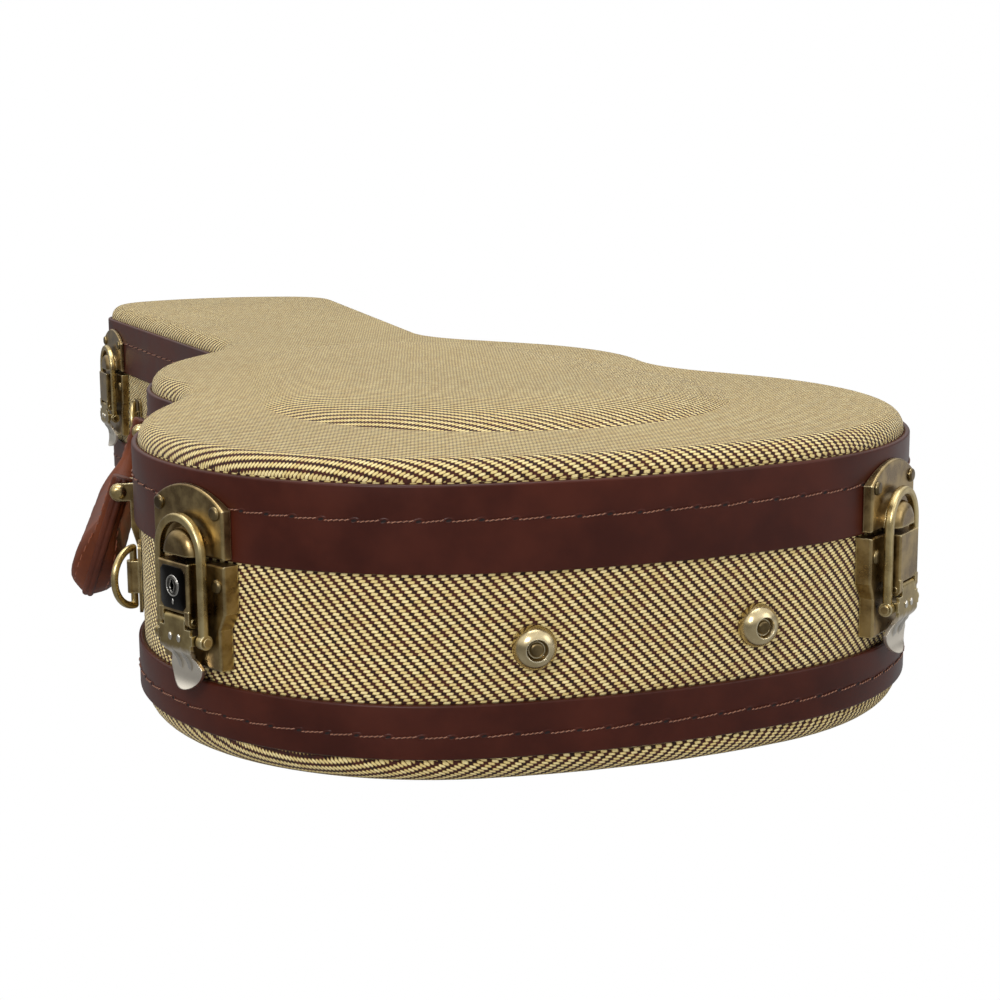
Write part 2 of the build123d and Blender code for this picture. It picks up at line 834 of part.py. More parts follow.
def hinge_leaf_part(side):
    """One leaf in side view, with its share of the knuckles; side is 1 for the lid."""
    back = band_growth + seat_gap if side > 0 else seat_gap
    third = hinge_length / 3
    with BuildPart() as leaf:
        with BuildSketch(Plane.YZ):
            with Locations((side * (hinge_leaf + hinge_knuckle) / 2 + side, back + hinge_sheet / 2)):
                Rectangle(hinge_leaf - hinge_knuckle, hinge_sheet)
            if side > 0:
                with Locations((hinge_knuckle, back + hinge_sheet / 2)):
                    Rectangle(2 * hinge_knuckle, hinge_sheet)
            else:
                with BuildLine():
                    Polyline(
                        (-2 * hinge_knuckle, back),
                        (-2 * hinge_knuckle, back + hinge_sheet),
                        (-hinge_knuckle * 0.5, hinge_out - hinge_knuckle * 0.2),
                        (-hinge_knuckle * 0.35, hinge_out - hinge_knuckle * 0.9),
                        close=True,
                    )
                make_face()
            with Locations((0, hinge_out)):
                Circle(hinge_knuckle)
        extrude(amount=hinge_length / 2, both=True)
        knuckle_room = 2 * hinge_knuckle + 4 * side_gap
        centres = (0,) if side < 0 else (-third, third)
        for centre in centres:
            with BuildSketch(Plane.YZ.offset(centre)):
                with Locations((0, hinge_out)):
                    Rectangle(knuckle_room, knuckle_room)
            extrude(amount=third / 2 + side_gap / 2, both=True, mode=Mode.SUBTRACT)
        with BuildSketch(Plane.YZ):
            with Locations((0, hinge_out)):
                Circle(hinge_pin + running_gap)
        extrude(amount=hinge_length, both=True, mode=Mode.SUBTRACT)
        up = side * hinge_rivet_up
        with BuildSketch(Plane.XY.offset(back + hinge_sheet)):
            with Locations((-hinge_rivet_across, up), (hinge_rivet_across, up)):
                Circle(rivet_shank + running_gap)
        extrude(amount=-2 * hinge_sheet, mode=Mode.SUBTRACT)
    return leaf.part


with BuildPart() as hinge_pin_part:
    with BuildSketch(Plane.YZ):
        with Locations((0, hinge_out)):
            Circle(hinge_pin)
    extrude(amount=hinge_length / 2 + 0.4, both=True)

hinge_rivet = rivet(hinge_sheet)
for hinge_name, (centre, radius) in hinge_seats.items():
    touch = (centre[0] + hinge_normal[0] * radius, centre[1] + hinge_normal[1] * radius)
    seat = wall_plane(touch, hinge_normal, seam_height)
    save(place(hinge_leaf_part(1), seat), f"{hinge_name}_lid_leaf")
    save(place(hinge_leaf_part(-1), seat), f"{hinge_name}_base_leaf")
    save(place(hinge_pin_part.part, seat), f"{hinge_name}_pin")
    for x in (-hinge_rivet_across, hinge_rivet_across):
        lid_out = band_growth + seat_gap + hinge_sheet
        lid_rivets.append(place(hinge_rivet, seat, x, hinge_rivet_up, lid_out))
        base_rivet_group.append(place(hinge_rivet, seat, x, -hinge_rivet_up, seat_gap + hinge_sheet))

group(lid_rivets, "lid_rivets")
group(base_rivet_group, "base_rivets")


# Handle: stitched leather grip on two forked brackets
front_spot, front_normal = station("lower_shoulder", 0.885, -1)
rear_spot, rear_normal = station("upper_bout", 0.779, -1)


handle_pivot_height = seam_height + handle_pivot_rise
bracket_top = seam_height - bracket_drop
bracket_bottom = bracket_top - bracket_length


def pivot_point(spot, normal):
    return Vector(
        spot[0] + normal[0] * handle_pivot_out,
        spot[1] + normal[1] * handle_pivot_out,
        handle_pivot_height,
    )


front_pivot = pivot_point(front_spot, front_normal)
rear_pivot = pivot_point(rear_spot, rear_normal)
handle_axis = (rear_pivot - front_pivot).normalized()
handle_span = (rear_pivot - front_pivot).length
handle_outward = Vector(-handle_axis.Y, handle_axis.X, 0)


def bracket(spot, normal, pivot):
    """Plate on the base wall with two cranked ears that stand clear of the lid band."""
    inset = handle_pivot_out
    across_plane = Plane(origin=pivot, x_dir=handle_outward, z_dir=handle_axis)
    with BuildPart() as fork:
        for side in (-1, 1):
            centre = side * (handle_leg / 2 + side_gap + ear / 2)
            with BuildSketch(across_plane.offset(centre)):
                with BuildLine():
                    Polyline(
                        (0, ear_radius),
                        (-inset + 3.4, ear_radius),
                        (-inset + 3.4, bracket_top - handle_pivot_height - 1.2),
                        (-inset - 1.2, bracket_top - handle_pivot_height - 1.2),
                        (-inset - 1.2, bracket_bottom - handle_pivot_height + 1.2),
                        (-inset + 3.4, bracket_bottom - handle_pivot_height + 3.2),
                        (-inset + 6.6, bracket_top - handle_pivot_height - 3.0),
                        (-inset + 6.6, -ear_radius),
                        (0, -ear_radius),
                        close=True,
                    )
                make_face()
                Circle(ear_radius)
            extrude(amount=ear / 2, both=True)
        plate_plane = wall_plane(spot, normal, (bracket_top + bracket_bottom) / 2)
        with BuildSketch(plate_plane.offset(-ear)):
            RectangleRounded(2 * bracket_half_width, bracket_top - bracket_bottom, 2.0)
        extrude(amount=seat_gap + 2 * ear)
        with BuildSketch(across_plane):
            Circle(handle_pin + running_gap)
        extrude(amount=handle_leg + 2 * ear, both=True, mode=Mode.SUBTRACT)
    return fork.part


save(seated(bracket(front_spot, front_normal, front_pivot), under_base), "handle_bracket_front")
save(seated(bracket(rear_spot, rear_normal, rear_pivot), under_base), "handle_bracket_rear")


def handle_pin_part(pivot):
    half = handle_leg / 2 + side_gap + ear + 0.1
    across_plane = Plane(origin=pivot, x_dir=handle_outward, z_dir=handle_axis)
    with BuildPart() as pin:
        with BuildSketch(across_plane):
            Circle(handle_pin)
        extrude(amount=half, both=True)
        for side in (-1, 1):
            end = pivot + handle_axis * side * half
            with BuildSketch(Plane(origin=end, x_dir=handle_outward, z_dir=side * handle_axis)):
                Circle(handle_pin * 1.75)
            extrude(amount=handle_pin * 1.3)
            fillet(pin.faces().sort_by(Axis(pivot, handle_axis * side))[-1].edges(), handle_pin * 1.2)
    return pin.part


group([handle_pin_part(front_pivot), handle_pin_part(rear_pivot)], "handle_pins")

lean = math.radians(handle_lean)
handle_down = handle_outward * math.sin(lean) + Vector(0, 0, -math.cos(lean))
handle_plane = Plane(origin=front_pivot, x_dir=handle_axis, z_dir=handle_axis.cross(handle_down))
with BuildPart() as handle:
    leg = handle_leg / 2
    flare = handle_grip
    with BuildSketch(handle_plane):
        with BuildLine():
            Polyline(
                (-leg, -leg),
                (-leg, flare * 0.55),
                (flare * 0.35, handle_drop - handle_shoulder),
                (flare * 0.8, handle_drop),
                (handle_span - flare * 0.8, handle_drop),
                (handle_span - flare * 0.35, handle_drop - handle_shoulder),
                (handle_span + leg, flare * 0.55),
                (handle_span + leg, -leg),
                (handle_span - leg, -leg),
                (handle_span - leg, flare * 0.45),
                (handle_span - flare, handle_drop - handle_grip),
                (flare, handle_drop - handle_grip),
                (leg, flare * 0.45),
                (leg, -leg),
                close=True,
            )
        make_face()
    extrude(amount=handle_leg / 2, both=True)
    with BuildSketch(handle_plane):
        with Locations((handle_span / 2, handle_drop - handle_grip / 2)):
            Rectangle(handle_span - 2 * flare, handle_grip)
    extrude(amount=handle_thick / 2, both=True)
    long_edges = handle.edges().filter_by(GeomType.LINE).filter_by(Axis((0, 0, 0), handle_axis))
    fillet(long_edges, handle_edge_radius)
    with BuildSketch(Plane(origin=front_pivot, x_dir=handle_outward, z_dir=handle_axis)):
        Circle(handle_pin + running_gap)
    extrude(amount=handle_span + 2 * handle_leg, both=True, mode=Mode.SUBTRACT)
save(handle.part, "handle_grip")


# Strap rings: a clip plate with a curl, and a loop whose straight bar turns in the curl
def ring_plate():
    with BuildPart() as clip:
        with BuildSketch(Plane.XY.offset(-sheet)):
            RectangleRounded(2 * ring_plate_half, ring_plate_height, 2.0)
        extrude(amount=seat_gap + 2 * sheet)
        with BuildSketch(Plane.XZ):
            with Locations((0, ring_out)):
                Circle(ring_curl)
            with Locations((0, ring_out / 2 + seat_gap)):
                Rectangle(2 * ring_curl, ring_out - seat_gap)
        extrude(amount=ring_curl_half, both=True)
        with BuildSketch(Plane.XZ):
            with Locations((0, ring_out)):
                Circle(ring_wire + running_gap)
        extrude(amount=ring_plate_height, both=True, mode=Mode.SUBTRACT)
    return clip.part


def strap_ring(swing):
    """Half-round loop closed by a straight bar along Y; swing turns it about the bar."""
    with BuildPart() as loop:
        with BuildSketch(Plane.XZ):
            with Locations((0, ring_out)):
                Circle(ring_wire)
        extrude(amount=ring_radius, both=True)
        with BuildSketch(Plane.XY.offset(ring_out)):
            with Locations((0, ring_radius)):
                Circle(ring_wire)
        revolve(axis=Axis((0, 0, ring_out), (1, 0, 0)), revolution_arc=180)
        with Locations((0, ring_radius, ring_out), (0, -ring_radius, ring_out)):
            Sphere(ring_wire)
    turned = loop.part.rotate(Axis((0, 0, ring_out), (0, 1, 0)), swing)
    return turned


middle_height = (lower_band_top + seam_height) / 2
ring_seats = {
    "body_ring": (station("lower_shoulder", 0.64, -1), body_ring_drop, body_ring_swing),
    "head_ring": (station("head_side", 0.75, -1), head_ring_drop, head_ring_swing),
}
for ring_name, (spot, drop, swing) in ring_seats.items():
    seat = wall_plane(*spot, middle_height - drop)
    save(seated(place(ring_plate(), seat), under_base), f"{ring_name}_plate")
    save(place(strap_ring(swing), seat), f"{ring_name}_loop")


# Feet: two spun cups riveted to the lower end
def foot_cup():
    with BuildPart() as cup:
        with BuildSketch(Plane.XZ):
            with BuildLine():
                Line((0, seat_gap), (foot_radius, seat_gap))
                Line((foot_radius, seat_gap), (foot_radius, seat_gap + 0.8))
                ThreePointArc(
                    (foot_radius, seat_gap + 0.8),
                    (foot_radius * 0.84, foot_rise * 0.72),
                    (foot_hollow + 0.8, foot_rise),
                )
                Line((foot_hollow + 0.8, foot_rise), (foot_hollow, foot_rise - foot_hollow_depth))
                Line((foot_hollow, foot_rise - foot_hollow_depth), (0, foot_rise - foot_hollow_depth))
                Line((0, foot_rise - foot_hollow_depth), (0, seat_gap))
            make_face()
        revolve(axis=Axis.Z)
        with BuildSketch(Plane.XY):
            Circle(rivet_shank + running_gap)
        extrude(amount=foot_rise, mode=Mode.SUBTRACT)
    return cup.part


foot_share = math.degrees(math.asin(foot_spacing / 2 / lower_end_radius)) / lower_end_turn
foot_planes = [wall_plane(*station("lower_end", foot_share, side), foot_height) for side in (-1, 1)]
foot_rivet = rivet(foot_rise - foot_hollow_depth - seat_gap)
group([place(foot_cup(), plane) for plane in foot_planes], "end_feet")
group([place(foot_rivet, plane, 0, 0, foot_rise - foot_hollow_depth) for plane in foot_planes], "foot_rivets")
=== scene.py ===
import math
import random

import bmesh
import bpy
from mathutils import Matrix, Vector, noise


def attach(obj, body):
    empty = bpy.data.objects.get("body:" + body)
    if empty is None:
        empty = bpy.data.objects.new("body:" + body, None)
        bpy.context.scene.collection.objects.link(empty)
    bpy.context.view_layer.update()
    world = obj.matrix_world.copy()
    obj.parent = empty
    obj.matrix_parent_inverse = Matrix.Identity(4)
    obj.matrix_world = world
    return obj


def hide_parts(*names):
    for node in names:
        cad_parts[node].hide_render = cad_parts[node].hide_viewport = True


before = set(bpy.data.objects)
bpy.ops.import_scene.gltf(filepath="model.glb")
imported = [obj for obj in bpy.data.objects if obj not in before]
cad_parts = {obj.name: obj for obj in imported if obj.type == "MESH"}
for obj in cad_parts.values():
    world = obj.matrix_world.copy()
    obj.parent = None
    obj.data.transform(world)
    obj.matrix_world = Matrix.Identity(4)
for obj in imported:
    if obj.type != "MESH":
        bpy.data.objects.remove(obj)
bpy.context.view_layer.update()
MM = 0.001


# Tweed covering
# Woven cotton tweed glued over bent plywood: straw yarn floats over dark brown yarn in a
# steep twill, so short rods line up in stepped diagonals. One piece wraps the wall, joined
# on the hinge side, and one lies over the top and is pulled down over the rolled edge.
thread_pitch = 0.95
twill_period = 3.7
twill_shift = 0.925
rod_slant = -0.3
rod_middle = 0.31
rod_half = 0.305
stray = (1.1 * MM, 0.9 * MM, 0.0)
cloth_joint = 480.0
joint_jump = 300.0
lower_end_y = -107.778
bottom_edge_radius = 8.4
top_edge_radius = 6.4
top_edge_level = 93.1
upright = 0.02
edge_reach = 0.5
smooth = {"interpolation_type": "SMOOTHSTEP"}
two_colours = {"data_type": "RGBA"}


def colour(code, alpha=1.0):
    values = [int(code[i : i + 2], 16) / 255 for i in (1, 3, 5)]
    linear = [v / 12.92 if v <= 0.04045 else ((v + 0.055) / 1.055) ** 2.4 for v in values]
    return (*linear, alpha)


def material(name):
    made = bpy.data.materials.new(name)
    made.use_nodes = True
    made.node_tree.nodes.clear()
    return made, made.node_tree


def add(tree, kind, inputs, **settings):
    """Adds one node, sets its settings, and gives each input a value, a hex colour or a link."""
    made = tree.nodes.new("ShaderNode" + kind)
    for name, value in settings.items():
        setattr(made, name, value)
    for key, value in inputs.items():
        if isinstance(value, bpy.types.Node):
            value = value.outputs[0]
        if isinstance(value, bpy.types.NodeSocket):
            tree.links.new(value, made.inputs[key])
        else:
            made.inputs[key].default_value = colour(value) if isinstance(value, str) else value
    return made


# Right half of the wall from the lower end: each arc's radius and turn, or a run's length
stretches = [
    (261.0, 11.6),
    (99.8, 61.8),
    (116.2, 45.3),
    (None, 21.2),
    (69.0, -38.7),
    (107.7, 47.5),
    (None, 31.9),
    (57.0, -41.6),
    (None, 203.2),
    (33.4, 69.2),
]


def outline(growth, step):
    """Closed outline of the wall, grown outward: x, y, heading and distance along, in mm."""
    x, y, heading, run = 0.0, lower_end_y - growth, 0.0, 0.0
    half = [(x, y, heading, run)]
    for number in range(len(stretches) + 1):
        if number < len(stretches):
            radius, amount = stretches[number]
        else:
            amount = 180.0 - heading
            radius = x / math.sin(math.radians(amount)) - growth
        side = math.copysign(1.0, amount)
        reach = 0.0 if radius is None else radius + side * growth
        plain = amount if radius is None else abs(math.radians(amount)) * radius
        count = max(1, round(plain / step))
        length = amount if radius is None else abs(math.radians(amount)) * reach
        for i in range(count):
            turn = 0.0 if radius is None else amount / count
            middle = math.radians(heading + turn / 2)
            bend = math.sin(math.radians(abs(turn)) / 2)
            chord = length / count if radius is None else 2 * reach * bend
            x += math.cos(middle) * chord
            y += math.sin(middle) * chord
            heading += turn
            run += length / count
            half.append((x, y, heading, run))
    other = [(-px, py, 360.0 - h, 2 * run - s) for px, py, h, s in reversed(half[1:-1])]
    return half + other


def length_of(line):
    return 2 * line[len(line) // 2][3]


def wall_point(line, at):
    """Place and heading at a distance along a closed outline."""
    total = length_of(line)
    at = at % total
    for first, second in zip(line, line[1:] + line[:1]):
        start, end = first[3], second[3] if second[3] > first[3] else total
        if start <= at <= end:
            share = (at - start) / max(end - start, 1e-9)
            turn = (second[2] - first[2] + 180) % 360 - 180
            return (
                first[0] + (second[0] - first[0]) * share,
                first[1] + (second[1] - first[1]) * share,
                first[2] + turn * share,
            )


wall_line = outline(growth=0.0, step=4.0)
wall_total = length_of(wall_line)


def nearest(x, y):
    """Nearest point of the wall line: squared gap, distance along, and the way out."""
    best = None
    for first, second in zip(wall_line, wall_line[1:] + wall_line[:1]):
        ax, ay = first[0], first[1]
        dx, dy = second[0] - ax, second[1] - ay
        share = max(0.0, min(1.0, ((x - ax) * dx + (y - ay) * dy) / (dx * dx + dy * dy)))
        gap = (ax + dx * share - x) ** 2 + (ay + dy * share - y) ** 2
        if best is None or gap < best[0]:
            length = math.hypot(dx, dy)
            best = (gap, first[3] + length * share, dy / length, -dx / length)
    return best


def lay_cloth(obj, flat_level, edge_radius, upward):
    """Gives a shell the map of its cloth in metres: round the wall, or flat and over the edge."""
    mesh = obj.data
    layer = mesh.uv_layers.new(name="cloth")
    found = []
    for vertex in mesh.vertices:
        x, y, z = (c / MM for c in vertex.co)
        found.append((x, y, z, nearest(x, y)))
    for face in mesh.polygons:
        middle = face.center.z / MM
        on_wall = abs(face.normal.z) < upright and (middle - flat_level) * upward < 0
        start = None
        for loop in face.loop_indices:
            x, y, z, (gap, along, nx, ny) = found[mesh.loops[loop].vertex_index]
            if on_wall:
                along = (along - cloth_joint) % wall_total
                if start is not None and abs(along - start) > joint_jump:
                    along += math.copysign(wall_total, start - along)
                start = along if start is None else start
                layer.data[loop].uv = (along * MM, z * MM)
            else:
                depth = math.sqrt(gap)
                level = (z - flat_level) * upward
                if depth < edge_radius and level > -edge_reach:
                    inward = edge_radius - depth
                    angle = math.acos(max(-1.0, min(1.0, inward / edge_radius)))
                    shift = edge_radius * (math.pi / 2 - angle) - inward
                    x += nx * shift
                    y += ny * shift
                layer.data[loop].uv = (x * MM, y * MM)


lay_cloth(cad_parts["base_shell"], bottom_edge_radius, bottom_edge_radius, -1)
lay_cloth(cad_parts["lid_shell"], top_edge_level, top_edge_radius, 1)


# Cotton tweed, yarn-dyed and twill woven, glued flat: matt, each straw rod rounded, with a painted
# highlight on its crown and painted shade to its sides, the brown yarn deep between the rods, with
# slow waves in the lay.
# Pattern scales are cells per millimetre: fibres every 0.4 mm, waves every 29 mm.
def tweed_material():
    made, tree = material("tweed_cloth")
    place = add(tree, "UVMap", {}, uv_map="cloth")
    wave = add(tree, "TexNoise", {"Vector": place, "Scale": 0.035 / MM, "Detail": 2.0})
    half = (0.5, 0.5, 0.5)
    centred = add(tree, "VectorMath", {0: wave.outputs[1], 1: half}, operation="SUBTRACT")
    strayed = add(tree, "VectorMath", {0: centred, 1: stray, 2: place}, operation="MULTIPLY_ADD")
    split = add(tree, "SeparateXYZ", {0: strayed})
    warp_at = add(tree, "Math", {0: split.outputs[0], 1: 1.0 / MM}, operation="MULTIPLY")
    rows = {0: split.outputs[1], 1: 1.0 / (thread_pitch * MM)}
    row_at = add(tree, "Math", rows, operation="MULTIPLY")
    row = add(tree, "Math", {0: row_at}, operation="FLOOR")
    in_row = add(tree, "Math", {0: row_at}, operation="FRACT")
    shifted = add(tree, "Math", {0: row, 1: twill_shift, 2: warp_at}, operation="MULTIPLY_ADD")
    slanted = add(tree, "Math", {0: in_row, 1: rod_slant, 2: shifted}, operation="MULTIPLY_ADD")
    turns = add(tree, "Math", {0: slanted, 1: twill_period}, operation="DIVIDE")
    number = add(tree, "Math", {0: turns}, operation="FLOOR")
    phase = add(tree, "Math", {0: turns}, operation="FRACT")
    powers = {}
    for key, at, middle, reach in ((0, phase, rod_middle, rod_half), (1, in_row, 0.5, 0.5)):
        off_middle = add(tree, "Math", {0: at, 1: middle}, operation="SUBTRACT")
        share = add(tree, "Math", {0: off_middle, 1: reach}, operation="DIVIDE")
        size = add(tree, "Math", {0: share}, operation="ABSOLUTE")
        powers[key] = add(tree, "Math", {0: size, 1: 4.0}, operation="POWER")
    off_rod = add(tree, "Math", powers, operation="ADD")
    rod = add(tree, "MapRange", {0: off_rod, 1: 0.7, 2: 1.25, 3: 1.0, 4: 0.0}, **smooth)
    painted_rod_shade = add(tree, "MapRange", {0: off_rod, 1: 0.12, 2: 0.85}, **smooth)
    key = add(tree, "CombineXYZ", {0: number, 1: row})
    chance = add(tree, "TexWhiteNoise", {0: key}, noise_dimensions="3D")
    fuzz = add(tree, "TexNoise", {"Vector": place, "Scale": 2.6 / MM, "Detail": 2.0})
    patch = add(tree, "TexNoise", {"Vector": place, "Scale": 0.009 / MM, "Detail": 3.0})
    # Straw is painted pale along each rod's crown and darker to its sides: painted highlight and
    # painted shade on the rounded rod.
    painted_crown_highlight = add(tree, "Mix", {0: chance, 6: "#eddca2", 7: "#dcc582"}, **two_colours)
    edge = add(tree, "Mix", {0: chance, 6: "#b8954f", 7: "#96733a"}, **two_colours)
    shaded_straw = add(tree, "Mix", {0: painted_rod_shade, 6: painted_crown_highlight.outputs[2], 7: edge.outputs[2]}, **two_colours)
    brown = add(tree, "Mix", {0: chance, 6: "#240c05", 7: "#44190c"}, **two_colours)
    woven = add(tree, "Mix", {0: rod, 6: brown.outputs[2], 7: shaded_straw.outputs[2]}, **two_colours)
    shade = add(tree, "MapRange", {0: fuzz, 1: 0.25, 2: 0.75, 3: 0.84, 4: 1.08}, **smooth)
    slow = add(tree, "MapRange", {0: patch, 1: 0.3, 2: 0.7, 3: 0.94, 4: 1.04}, **smooth)
    tone = add(tree, "Math", {0: shade, 1: slow}, operation="MULTIPLY")
    final = add(tree, "VectorMath", {0: woven.outputs[2], "Scale": tone}, operation="SCALE")
    round_top = add(tree, "Math", {0: 1.4, 1: off_rod}, operation="SUBTRACT")
    lift = add(tree, "Math", {0: rod, 1: round_top}, operation="MULTIPLY")
    bump = add(tree, "Bump", {"Height": lift, "Strength": 0.7, "Distance": 0.3 * MM})
    cloth = {
        "Base Color": final,
        "Roughness": 0.8,
        "Specular IOR Level": 0.3,
        "Sheen Weight": 0.1,
        "Sheen Roughness": 0.5,
        "Normal": bump,
    }
    add(tree, "OutputMaterial", {0: add(tree, "BsdfPrincipled", cloth)})
    return made


def dress(obj, made):
    obj.data.materials.clear()
    obj.data.materials.append(made)


tweed = tweed_material()
for name in ("base_shell", "lid_shell"):
    dress(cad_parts[name], tweed)


# Binding bands
# Strips of brown leather, two millimetres thick, glued round both shells and hand sewn
# above or below the middle. A twisted thread runs from hole to hole, and each hole is
# punched, so the leather puckers round it.
seam = 65.7
lid_band_top = 92.7
lid_stitch_height = 82.0
base_band_bottom = 9.0
base_band_top = 26.0
base_stitch_height = 16.2
band_seat = 0.15
band_rounding = 0.8
band_face = 2.15
dimple = 0.13
stitch_pitch = 9.6
ply_radius = 0.17
ply_turns = 5
leave_ahead, leave_drop = 0.75, 0.35
enter_short, enter_rise = 0.95, 0.25
wall_curve = 110
UP = Vector((0, 0, 1))


def new_object(name, shape, body, slot_name, *materials):
    """Turns a finished bmesh into a smooth piece that rides on a body."""
    bmesh.ops.recalc_face_normals(shape, faces=shape.faces)
    mesh = bpy.data.meshes.new(name)
    shape.to_mesh(mesh)
    shape.free()
    obj = bpy.data.objects.new(name, mesh)
    bpy.context.scene.collection.objects.link(obj)
    for made in materials:
        obj.data.materials.append(made)
    for face in obj.data.polygons:
        face.use_smooth = True
    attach(obj, body)
    return obj


def circle(count, shift=0.0):
    """Even angles round a circle."""
    return [2 * math.pi * (q + shift) / count for q in range(count)]


def join_rings(mesh, rings, closed=True, kind=0):
    """Quads between neighbouring rings of equal length."""
    for low, high in zip(rings, rings[1:]):
        count = len(low)
        for k in range(count if closed else count - 1):
            j = (k + 1) % count
            face = mesh.faces.new((low[k], low[j], high[j], high[k]))
            face.material_index = kind


def capped_rings(mesh, rings, kind=0):
    """A skin over a row of rings, shut at both ends."""
    join_rings(mesh, rings, kind=kind)
    mesh.faces.new(rings[0][::-1])
    mesh.faces.new(rings[-1])


# Smooth cowhide, dyed through and waxed: even dark brown, satin, with fine pores
def leather_material(name, dark, light, rough, pores_per_mm, pore_depth):
    made, tree = material(name)
    place = add(tree, "TexCoord", {}).outputs["Object"]
    clouds = {"Vector": place, "Scale": 0.038 / MM, "Detail": 4.0, "Roughness": 0.6}
    cloud = add(tree, "TexNoise", clouds)
    tone = add(tree, "MapRange", {0: cloud, 1: 0.3, 2: 0.7}, **smooth)
    base = add(tree, "Mix", {0: tone, 6: dark, 7: light}, **two_colours)
    scale = pores_per_mm / MM
    pores = add(tree, "TexVoronoi", {"Vector": place, "Scale": scale, "Randomness": 1.0})
    grain = add(tree, "TexNoise", {"Vector": place, "Scale": scale * 0.6, "Detail": 3.0})
    height = add(tree, "Math", {0: pores, 1: 0.6, 2: grain}, operation="MULTIPLY_ADD")
    bump = add(tree, "Bump", {"Height": height, "Strength": 0.35, "Distance": pore_depth})
    wear_and_highlight = {0: cloud, 1: 0.3, 2: 0.7, 3: rough - 0.03, 4: rough + 0.05}
    hide = {
        "Base Color": base.outputs[2],
        "Roughness": add(tree, "MapRange", wear_and_highlight, **smooth),
        "Specular IOR Level": 0.2,
        "Normal": bump,
    }
    add(tree, "OutputMaterial", {0: add(tree, "BsdfPrincipled", hide)})
    return made


# Bonded nylon thread, lightly waxed, so its twist catches the light in small beads; pale beads of
# painted highlight are also mixed into its colour
def thread_material(name, code, wear_and_highlight):
    made, tree = material(name)
    place = add(tree, "TexCoord", {}).outputs["Object"]
    ply = add(tree, "TexNoise", {"Vector": place, "Scale": 2.5 / MM, "Detail": 1.0})
    bump = add(tree, "Bump", {"Height": ply, "Strength": 0.3, "Distance": 0.06 * MM})
    # The second colour is a painted highlight, mixed in by the ply noise as pale beads.
    tone = add(tree, "Mix", {0: ply, 6: code, 7: wear_and_highlight}, **two_colours).outputs[2]
    nylon = {"Base Color": tone, "Roughness": 0.42, "Normal": bump}
    add(tree, "OutputMaterial", {0: add(tree, "BsdfPrincipled", nylon)})
    return made


# The inside of a punched hole: raw leather, coloured near black as painted shade for the hole's
# depth
def hole_material():
    made, tree = material("punched_hole")
    place = add(tree, "TexCoord", {}).outputs["Object"]
    fibre = add(tree, "TexNoise", {"Vector": place, "Scale": 1.8 / MM, "Detail": 2.0})
    tone = add(tree, "Mix", {0: fibre, 6: "#0d0504", 7: "#1f0d08"}, **two_colours).outputs[2]
    raw_leather = {"Base Color": tone, "Roughness": 0.95}
    add(tree, "OutputMaterial", {0: add(tree, "BsdfPrincipled", raw_leather)})
    return made


binding = leather_material("binding_leather", "#341007", "#43180b", 0.38, 1.5, 0.03 * MM)
brown_thread = thread_material("brown_thread", "#7a4a34", "#b07c60")
# A darker copy of the brown thread: painted shade for the second ply.
painted_shade_thread = thread_material("painted_shade_thread", "#32150d", "#5c3020")
punched = hole_material()


def band_profile(bottom, top, sewn_at):
    """Cross-section of a band: growth and height, from the inner bottom corner to the top."""
    section = [(band_seat, bottom)]
    centre = band_face - band_rounding
    for i in range(5):
        angle = math.radians(-90 + 22.5 * i)
        height = bottom + band_rounding + band_rounding * math.sin(angle)
        section.append((centre + band_rounding * math.cos(angle), height))
    for lift, depth in (
        (-2.6, 0.0), (-1.3, 0.03), (-0.5, 0.1), (0.0, dimple), (0.5, 0.1), (1.3, 0.03), (2.6, 0.0),
    ):
        section.append((band_face - depth, sewn_at + lift))
    for i in range(5):
        angle = math.radians(22.5 * i)
        height = top - band_rounding + band_rounding * math.sin(angle)
        section.append((centre + band_rounding * math.cos(angle), height))
    section.append((band_seat, top))
    return section


def swept_band(name, bottom, top, sewn_at, body, node):
    mesh = bmesh.new()
    rings = []
    for growth, height in band_profile(bottom, top, sewn_at):
        line = outline(growth, 3.0)
        rings.append([mesh.verts.new((p[0] * MM, p[1] * MM, height * MM)) for p in line])
    join_rings(mesh, rings + rings[:1])
    band = new_object(name, mesh, body, "binding_leather", binding)
    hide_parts(node)


def sewn_spots(line, height, seed):
    """Holes along a band: place, direction along, and outward normal."""
    chance = random.Random(seed)
    total = length_of(line)
    count = round(total / stitch_pitch)
    spots = []
    for i in range(count):
        at = (i + 0.5 + chance.uniform(-0.05, 0.05)) * total / count
        x, y, heading = wall_point(line, at)
        turn = math.radians(heading)
        along = Vector((math.cos(turn), math.sin(turn), 0))
        normal = Vector((math.sin(turn), -math.cos(turn), 0))
        spots.append((Vector((x, y, height + chance.uniform(-0.15, 0.15))), along, normal))
    return spots


